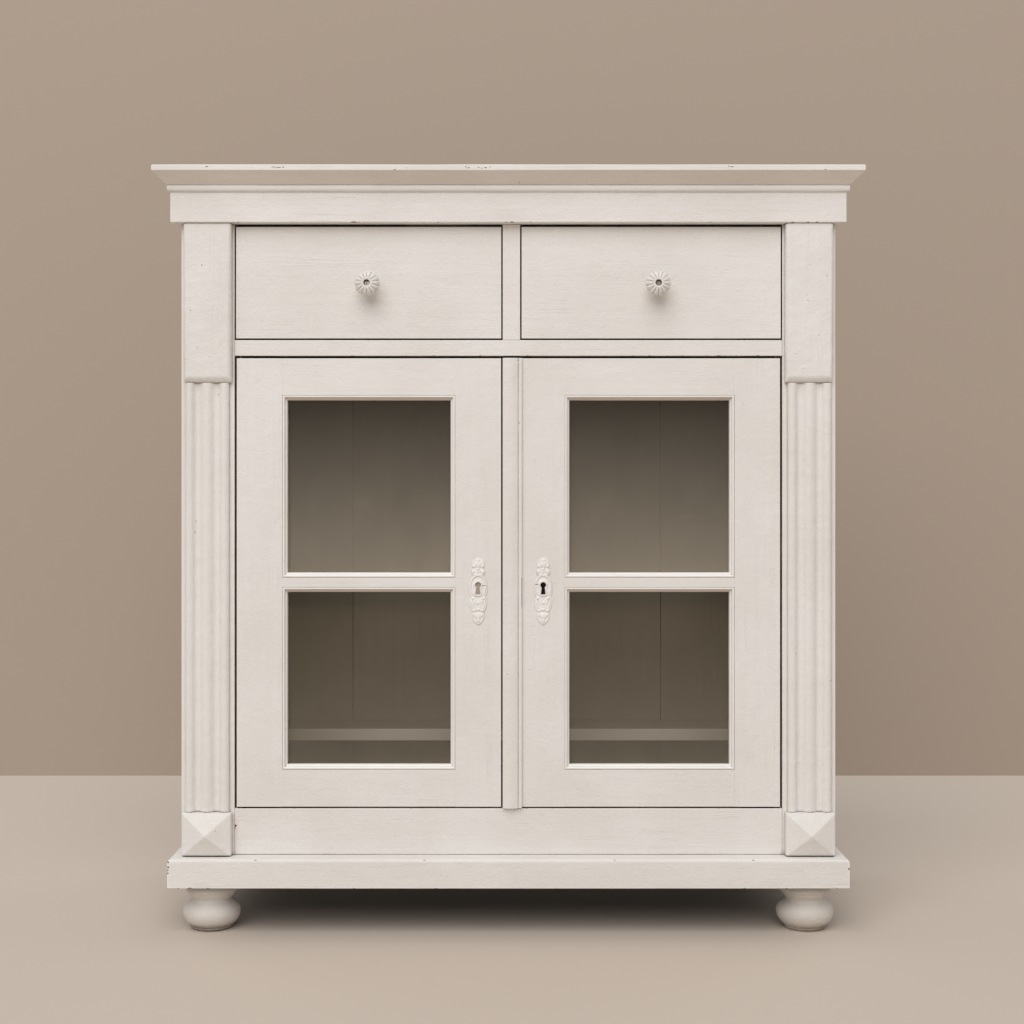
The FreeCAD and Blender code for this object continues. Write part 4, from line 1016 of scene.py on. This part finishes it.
def keyhole_plate(side):
    """One cast plate: its ground, the swellings and ribs on it, one skin over all, and the hole."""
    source = side + "_escutcheon"
    low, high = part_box(source)
    x = (low.x + high.x) / 2
    middle = (low.z + high.z) / 2
    half = (high.z - low.z) / 2
    back_y = high.y
    ground = back_y - plate_ground
    hole_z = middle + 0.0089
    plate = board(source + "_cast", source)
    for point in plate.data.vertices:
        if point.co.y < back_y - 0.0004:
            point.co = (x + (point.co.x - x) * 0.92, ground, middle + (point.co.z - middle) * 0.985)
    relief = [plate]
    swellings = [(0.0, 0.79, 5.2, 5.2, 1.7), (0.0, 0.90, 2.6, 3.0, 1.4), (0.0, 0.65, 2.1, 2.0, 2.5),
                 (0.0, 0.575, 3.6, 3.4, 1.5), (0.0, 0.10, 9.0, 13.0, 0.9), (0.0, -0.35, 2.0, 2.1, 2.3),
                 (0.0, -0.545, 3.6, 1.9, 1.9), (0.0, -0.74, 4.9, 4.8, 1.7), (0.0, -0.855, 2.9, 4.2, 1.5),
                 (0.0, -0.42, 7.0, 8.5, 0.8)]
    pairs = [(6.2, 0.735, 2.0, 2.3, 1.5), (6.6, 0.575, 3.0, 3.6, 1.7), (3.6, 0.485, 3.2, 2.6, 1.6),
             (7.2, -0.215, 2.4, 2.5, 1.9), (4.6, -0.31, 3.6, 5.6, 1.3), (5.9, -0.575, 2.3, 2.2, 1.7),
             (5.4, -0.70, 2.2, 3.0, 1.3)]
    for aside, up, wide, tall, proud in pairs:
        swellings += [(-aside, up, wide, tall, proud), (aside, up, wide, tall, proud)]
    for aside, up, wide, tall, proud in swellings:
        relief.append(boss(x + aside / 1000, ground, middle + up * half, wide / 1000, tall / 1000, proud / 1000))
    ring_z = middle + 0.145 * half
    relief.append(rope(arc_points(x, ground - 0.0001, ring_z, 0.0112, 0.0158, -55, 235, 40), 0.0015))
    for turn in (-1, 1):
        flank = [(x + turn * (0.0100 - 0.0042 * (i / 12) ** 1.7), ground, middle - (0.27 + 0.30 * i / 12) * half)
                 for i in range(13)]
        relief.append(rope(flank, 0.0012))
    rim_y = ground - 0.0009
    rim = arc_points(x, rim_y, hole_z, 0.0054, 0.0054, -50, 230, 24)
    rim += [(x - 0.0049, rim_y, hole_z - 0.0148), (x, rim_y, hole_z - 0.0153), (x + 0.0049, rim_y, hole_z - 0.0148)]
    relief.append(rope(rim + rim[:1], 0.0015))
    plate = join(relief, source + "_cast")
    modify(plate, "REMESH", mode="VOXEL", voxel_size=cast_cell)
    hollows = []
    for aside, up, radius in ((4.6, 0.715, 1.1), (8.2, 0.51, 1.0), (8.4, -0.245, 1.1), (7.4, -0.635, 1.2),
                              (2.6, -0.44, 0.9), (6.4, 0.415, 0.9), (2.4, 0.70, 0.6)):
        for turn in (-1, 1):
            hollows.append(dent(x + turn * aside / 1000, ground - 0.0014, middle + up * half, radius / 1000))
    hollows.append(dent(x, ground - 0.0018, middle - 0.88 * half, 0.0008))
    hollows.append(dent(x, ground - 0.0020, middle - 0.405 * half, 0.0009))
    hollow = join(hollows, "hollows")
    hollow.data.materials.append(paint_cast)
    dress(plate, paint_cast)
    cut_away(plate, hollow)
    modify(plate, "SMOOTH", factor=0.5, iterations=1)
    keep_in(plate, low, high)
    right = side == "right"
    cutter = keyhole_cutter(x, hole_z, low.y - 0.001, back_y + 0.001 if right else back_y - 0.0006)
    cutter.data.materials.append(open_dark if right else choked_and_shaded)
    cut_away(plate, cutter)
    start = -0.0118 if right else 0.0058
    crack_z = hole_z + (0.0006 if right else -0.0012)
    crack = plank("crack", (x + start, low.y - 0.001, crack_z), (x + start + 0.0050, ground + 0.0006, crack_z + 0.0009))
    crack.data.materials.append(chip_wood)
    cut_away(plate, crack)
    smooth(plate, 50, False)
    seat(plate, side + "_door", "painted_metal", None, source)


keyhole_plate("left")
keyhole_plate("right")


# ---------------------------------------------------------------- lock, bolts and pivots
# Dark wrought iron: the lock let into the right door, its bolt and strike, two slide bolts on the back of the left
# door, and the pivot plates that the doors turn on.
def old_metal(name, clean, rusted):
    material, tree, shader, place = new_material(name)
    patch = noise(tree, scaled(tree, place, 60.0), 4.0, 0.6)
    grit = noise(tree, scaled(tree, place, 700.0), 3.0, 0.6)
    share = fade(tree, calc(tree, "MULTIPLY_ADD", grit, 0.4, patch), 0.55, 0.95)
    rust = blend_colour(tree, share, clean, rusted)
    tree.links.new(calc(tree, "MULTIPLY_ADD", share, -0.6, 0.85, clamp=True), shader.inputs["Metallic"])
    height = calc(tree, "MULTIPLY_ADD", grit, 0.03, calc(tree, "MULTIPLY", share, 0.05))
    surface(tree, shader, rust, calc(tree, "MULTIPLY_ADD", share, 0.35, 0.38), height)
    return material


iron = old_metal("old_iron", (0.085, 0.078, 0.070, 1.0), (0.17, 0.085, 0.045, 1.0))
for source, body in (
    ("lock_case", "right_door"), ("lock_bolt", "lock_bolt"), ("lock_strike", "left_door"),
    ("slide_bolt_keepers", "left_door"), ("slide_bolt_upper", "slide_bolt_upper"),
    ("slide_bolt_lower", "slide_bolt_lower"), ("pivot_sockets", "carcass"), ("left_door_pivots", "left_door"),
    ("right_door_pivots", "right_door"),
):
    eased(source, "_iron", body, "iron", iron, 0.0003, sharp=40)


# ---------------------------------------------------------------- drawers
# Painted fronts on dovetailed boxes of bare softwood.  The fronts stand a little clear of the frame all round, so
# that a dark line shows, and their arrises are softened by paint.
paint_drawer = painted("paint_drawer", level, wear=-0.14, reach=0.0022)
box_wood = bare("box_wood", (2.6, 2.6, 38.0), (0.50, 0.355, 0.215, 1.0), (0.30, 0.190, 0.105, 1.0))
bottom_wood = bare("bottom_wood", (2.2, 30.0, 30.0), (0.47, 0.335, 0.205, 1.0), (0.28, 0.180, 0.100, 1.0))

for side in ("left", "right"):
    body = side + "_drawer"
    source = body + "_front"
    low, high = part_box(source)
    piece = board(source + "_painted", source)
    face_y = low.y + 0.0005
    ease(piece, 0.0013, lambda a, b: a.y < face_y and b.y < face_y, 3)
    dress(piece, paint_drawer)
    facing(piece, box_wood, "y", 0.5, 1.1)
    smooth(piece, 40)
    seat(piece, body, "painted_wood", None, source)
    for part, material in (("_sides_and_back", box_wood), ("_bottom", bottom_wood)):
        eased(body + part, "_sawn", body, "bare_wood", material, 0.0004)


# ---------------------------------------------------------------- knobs
# Fluted knobs turned and carved in wood: round lobes between narrow grooves, and a hole in the end for the slotted
# screw that holds each one to its drawer.
# The knob's grooves gather dirt: dust and painted shade.
paint_knob = painted("paint_knob", turned, -0.25, 0.0008, (0.79, 0.755, 0.715, 1.0), off_white_low, 0.95, 0.0035)
# The bore is bare wood, made darker still as painted shade.
bore_wood_shaded = dull("bore_wood_shaded", (0.100, 0.074, 0.054, 1.0))
knob_ribs = 14
rib_points = 16
hollow_depth = 0.0017
knob_profile = [
    (0.0078, 0.0000), (0.0082, 0.0012), (0.0079, 0.0035), (0.0079, 0.0072), (0.0092, 0.0100), (0.0120, 0.0124),
    (0.0148, 0.0150), (0.0167, 0.0178), (0.0178, 0.0207), (0.0181, 0.0234), (0.0178, 0.0260),
    (0.0168, 0.0284), (0.0151, 0.0305), (0.0129, 0.0321), (0.0107, 0.0331), (0.0089, 0.0336),
    (0.0076, 0.0338), (0.0064, 0.0338), (0.0055, 0.0337), (0.0048, 0.0334), (0.0044, 0.0329), (0.0043, 0.0322),
    (0.0043, 0.0250), (0.0020, 0.0250), (0.0020, 0.0000),
]
rim_ring = 18
bore = 0.00445
bore_depth = 0.0328


def hollow_at(ring):
    """Depth of the grooves at one ring of the profile: none on the stem and at the rim."""
    r, h = knob_profile[ring]
    if ring >= rim_ring:
        return 0.0
    under = min(max((h - 0.0080) / 0.0060, 0.0), 1.0)
    over = min(max((r - 0.0058) / 0.0034, 0.0), 1.0) if h > 0.026 else 1.0
    return hollow_depth * under * over


def carve_knob(side):
    """The profile turned round the knob's axis, its grooves cut square to the surface."""
    source = side + "_knob"
    low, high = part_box(source)
    x = (low.x + high.x) / 2
    z = (low.z + high.z) / 2
    count = knob_ribs * rib_points
    points = []
    for ring, (r, h) in enumerate(knob_profile):
        before = knob_profile[max(ring - 1, 0)]
        after = knob_profile[min(ring + 1, len(knob_profile) - 1)]
        outward = Vector((after[1] - before[1], before[0] - after[0])).normalized()
        for step in range(count):
            turn = 2 * math.pi * step / count
            from_middle = abs(2 * (step % rib_points) / rib_points - 1)
            cut = hollow_at(ring) * from_middle ** 3.6
            out = r - cut * outward.x
            points.append((x + out * math.sin(turn), high.y - h + cut * outward.y, z + out * math.cos(turn)))
    faces = []
    for ring in range(len(knob_profile)):
        near, far = ring * count, (ring + 1) % len(knob_profile) * count
        for step in range(count):
            ahead = (step + 1) % count
            faces.append((near + step, near + ahead, far + ahead, far + step))
    piece = blank_piece(source + "_carved", points, [], faces)
    seal(piece)
    dress(piece, paint_knob)
    piece.data.materials.append(bore_wood_shaded)
    for face in piece.data.polygons:
        middle = face.center
        if math.hypot(middle.x - x, middle.z - z) < bore and high.y - middle.y < bore_depth:
            face.material_index = 1
    smooth(piece, 60, False)
    seat(piece, side + "_drawer", "painted_wood", None, source)


steel = old_metal("rubbed_steel", (0.62, 0.56, 0.47, 1.0), (0.26, 0.19, 0.13, 1.0))
for side in ("left", "right"):
    carve_knob(side)
    eased(side + "_knob_screw", "_iron", side + "_drawer", "iron", steel, 0.0002, sharp=40)


# ---------------------------------------------------------------- floor, backdrop, light and camera
# A plain pale floor and backdrop that aren't part of the cabinet, one large soft lamp high in front and a little
# to the left, a weak one behind either side, an even sky, and a level camera in front.
def plain_stage(name, tone, only_seen):
    """A matt stage surface; one that is only_seen stands clear of the light on the cabinet."""
    material, tree, shader, _ = new_material(name)
    shader.inputs["Base Color"].default_value = tone
    shader.inputs["Roughness"].default_value = 0.9
    if only_seen:
        path = tree.nodes.new("ShaderNodeLightPath").outputs
        seen = calc(tree, "ADD", path["Is Camera Ray"], path["Is Glossy Ray"])
        seen = calc(tree, "ADD", seen, path["Is Transmission Ray"], clamp=True)
        back_side = node(tree, "ShaderNodeNewGeometry").outputs["Backfacing"]
        seen = calc(tree, "MULTIPLY", seen, calc(tree, "SUBTRACT", 1.0, back_side))
        clear = tree.nodes.new("ShaderNodeBsdfTransparent")
        choose = node(tree, "ShaderNodeMixShader", {0: seen, 1: clear.outputs[0], 2: shader.outputs[0]})
        out = next(n for n in tree.nodes if n.type == "OUTPUT_MATERIAL")
        tree.links.new(choose.outputs[0], out.inputs["Surface"])
    return material


let_go()
bpy.ops.mesh.primitive_circle_add(vertices=96, radius=7.0, fill_type="NGON", location=(0, 0, 0))
floor = bpy.context.object
floor.name = "floor"
floor.data.materials.append(plain_stage("floor_tone", (0.590, 0.500, 0.420, 1.0), False))
floor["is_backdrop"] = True

wall_y = 1.09
bpy.ops.mesh.primitive_plane_add(size=1.0, location=(0, 0, 0))
wall = bpy.context.object
wall.name = "backdrop"
for point in wall.data.vertices:
    point.co = Vector((point.co.x * 12.0, wall_y, (point.co.y + 0.5) * 5.0))
wall.data.update()
if wall.data.polygons[0].normal.y > 0:
    wall.data.flip_normals()
wall.data.materials.append(plain_stage("backdrop_tone", (0.430, 0.350, 0.282, 1.0), True))
wall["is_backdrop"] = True


def lamp(name, place, aim, size, power):
    light = bpy.data.lights.new(name, "AREA")
    light.shape = "RECTANGLE"
    light.size, light.size_y = size
    light.energy = power
    holder = bpy.data.objects.new(name, light)
    holder.location = place
    holder.rotation_euler = (Vector(aim) - Vector(place)).to_track_quat("-Z", "Y").to_euler()
    bpy.context.scene.collection.objects.link(holder)


def across(distance, aside, above):
    """A place seen from the cabinet's middle: degrees to the left of straight ahead, and degrees above level."""
    level_reach = distance * math.cos(math.radians(above))
    return (aim[0] - level_reach * math.sin(math.radians(aside)), aim[1] - level_reach * math.cos(math.radians(aside)),
            aim[2] + distance * math.sin(math.radians(above)))


aim = (0.0, -0.17, 0.58)
key_distance = 10.0
key_share = 0.80
lamp("key", across(key_distance, 12, 45), aim, (9.0, 10.0), key_share * math.pi ** 2 * key_distance ** 2)
rim_power = 9.0
for name, x in (("left_rim", -2.4), ("right_rim", 2.4)):
    lamp(name, (x, 1.9, 1.9), (0, 0.1, 0.6), (1.4, 1.4), rim_power)

world = bpy.data.worlds.new("even_sky")
bpy.context.scene.world = world
world.use_nodes = True
sky = world.node_tree
sky.nodes.clear()
path = sky.nodes.new("ShaderNodeLightPath").outputs
seen = calc(sky, "ADD", path["Is Camera Ray"], path["Is Transmission Ray"], clamp=True)
tone = blend_colour(sky, seen, (1.0, 1.0, 1.0, 1.0), (0.60, 0.525, 0.46, 1.0))
sky_strength = 0.44
strength = fade(sky, seen, 0.0, 1.0, sky_strength, 1.0)
background = node(sky, "ShaderNodeBackground", {"Color": tone, "Strength": strength})
out = sky.nodes.new("ShaderNodeOutputWorld")
sky.links.new(background.outputs[0], out.inputs["Surface"])

image_side = 1024
focal_length = 54.5
eye = (0.0, -2.423, 0.6246)
vanishing_point = (508.4, 500.0)
view = bpy.data.cameras.new("camera")
view.lens = focal_length
view.sensor_width = 36.0
view.shift_x = (image_side / 2 - vanishing_point[0]) / image_side
view.shift_y = -(image_side / 2 - vanishing_point[1]) / image_side
camera = bpy.data.objects.new("camera", view)
camera.location = eye
camera.rotation_euler = (math.radians(90), 0, 0)
bpy.context.scene.collection.objects.link(camera)
bpy.context.scene.camera = camera
bpy.context.scene.view_settings.view_transform = "Standard"


# ---------------------------------------------------------------- size
# The finished model's box, without the floor and backdrop.
low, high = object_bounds()
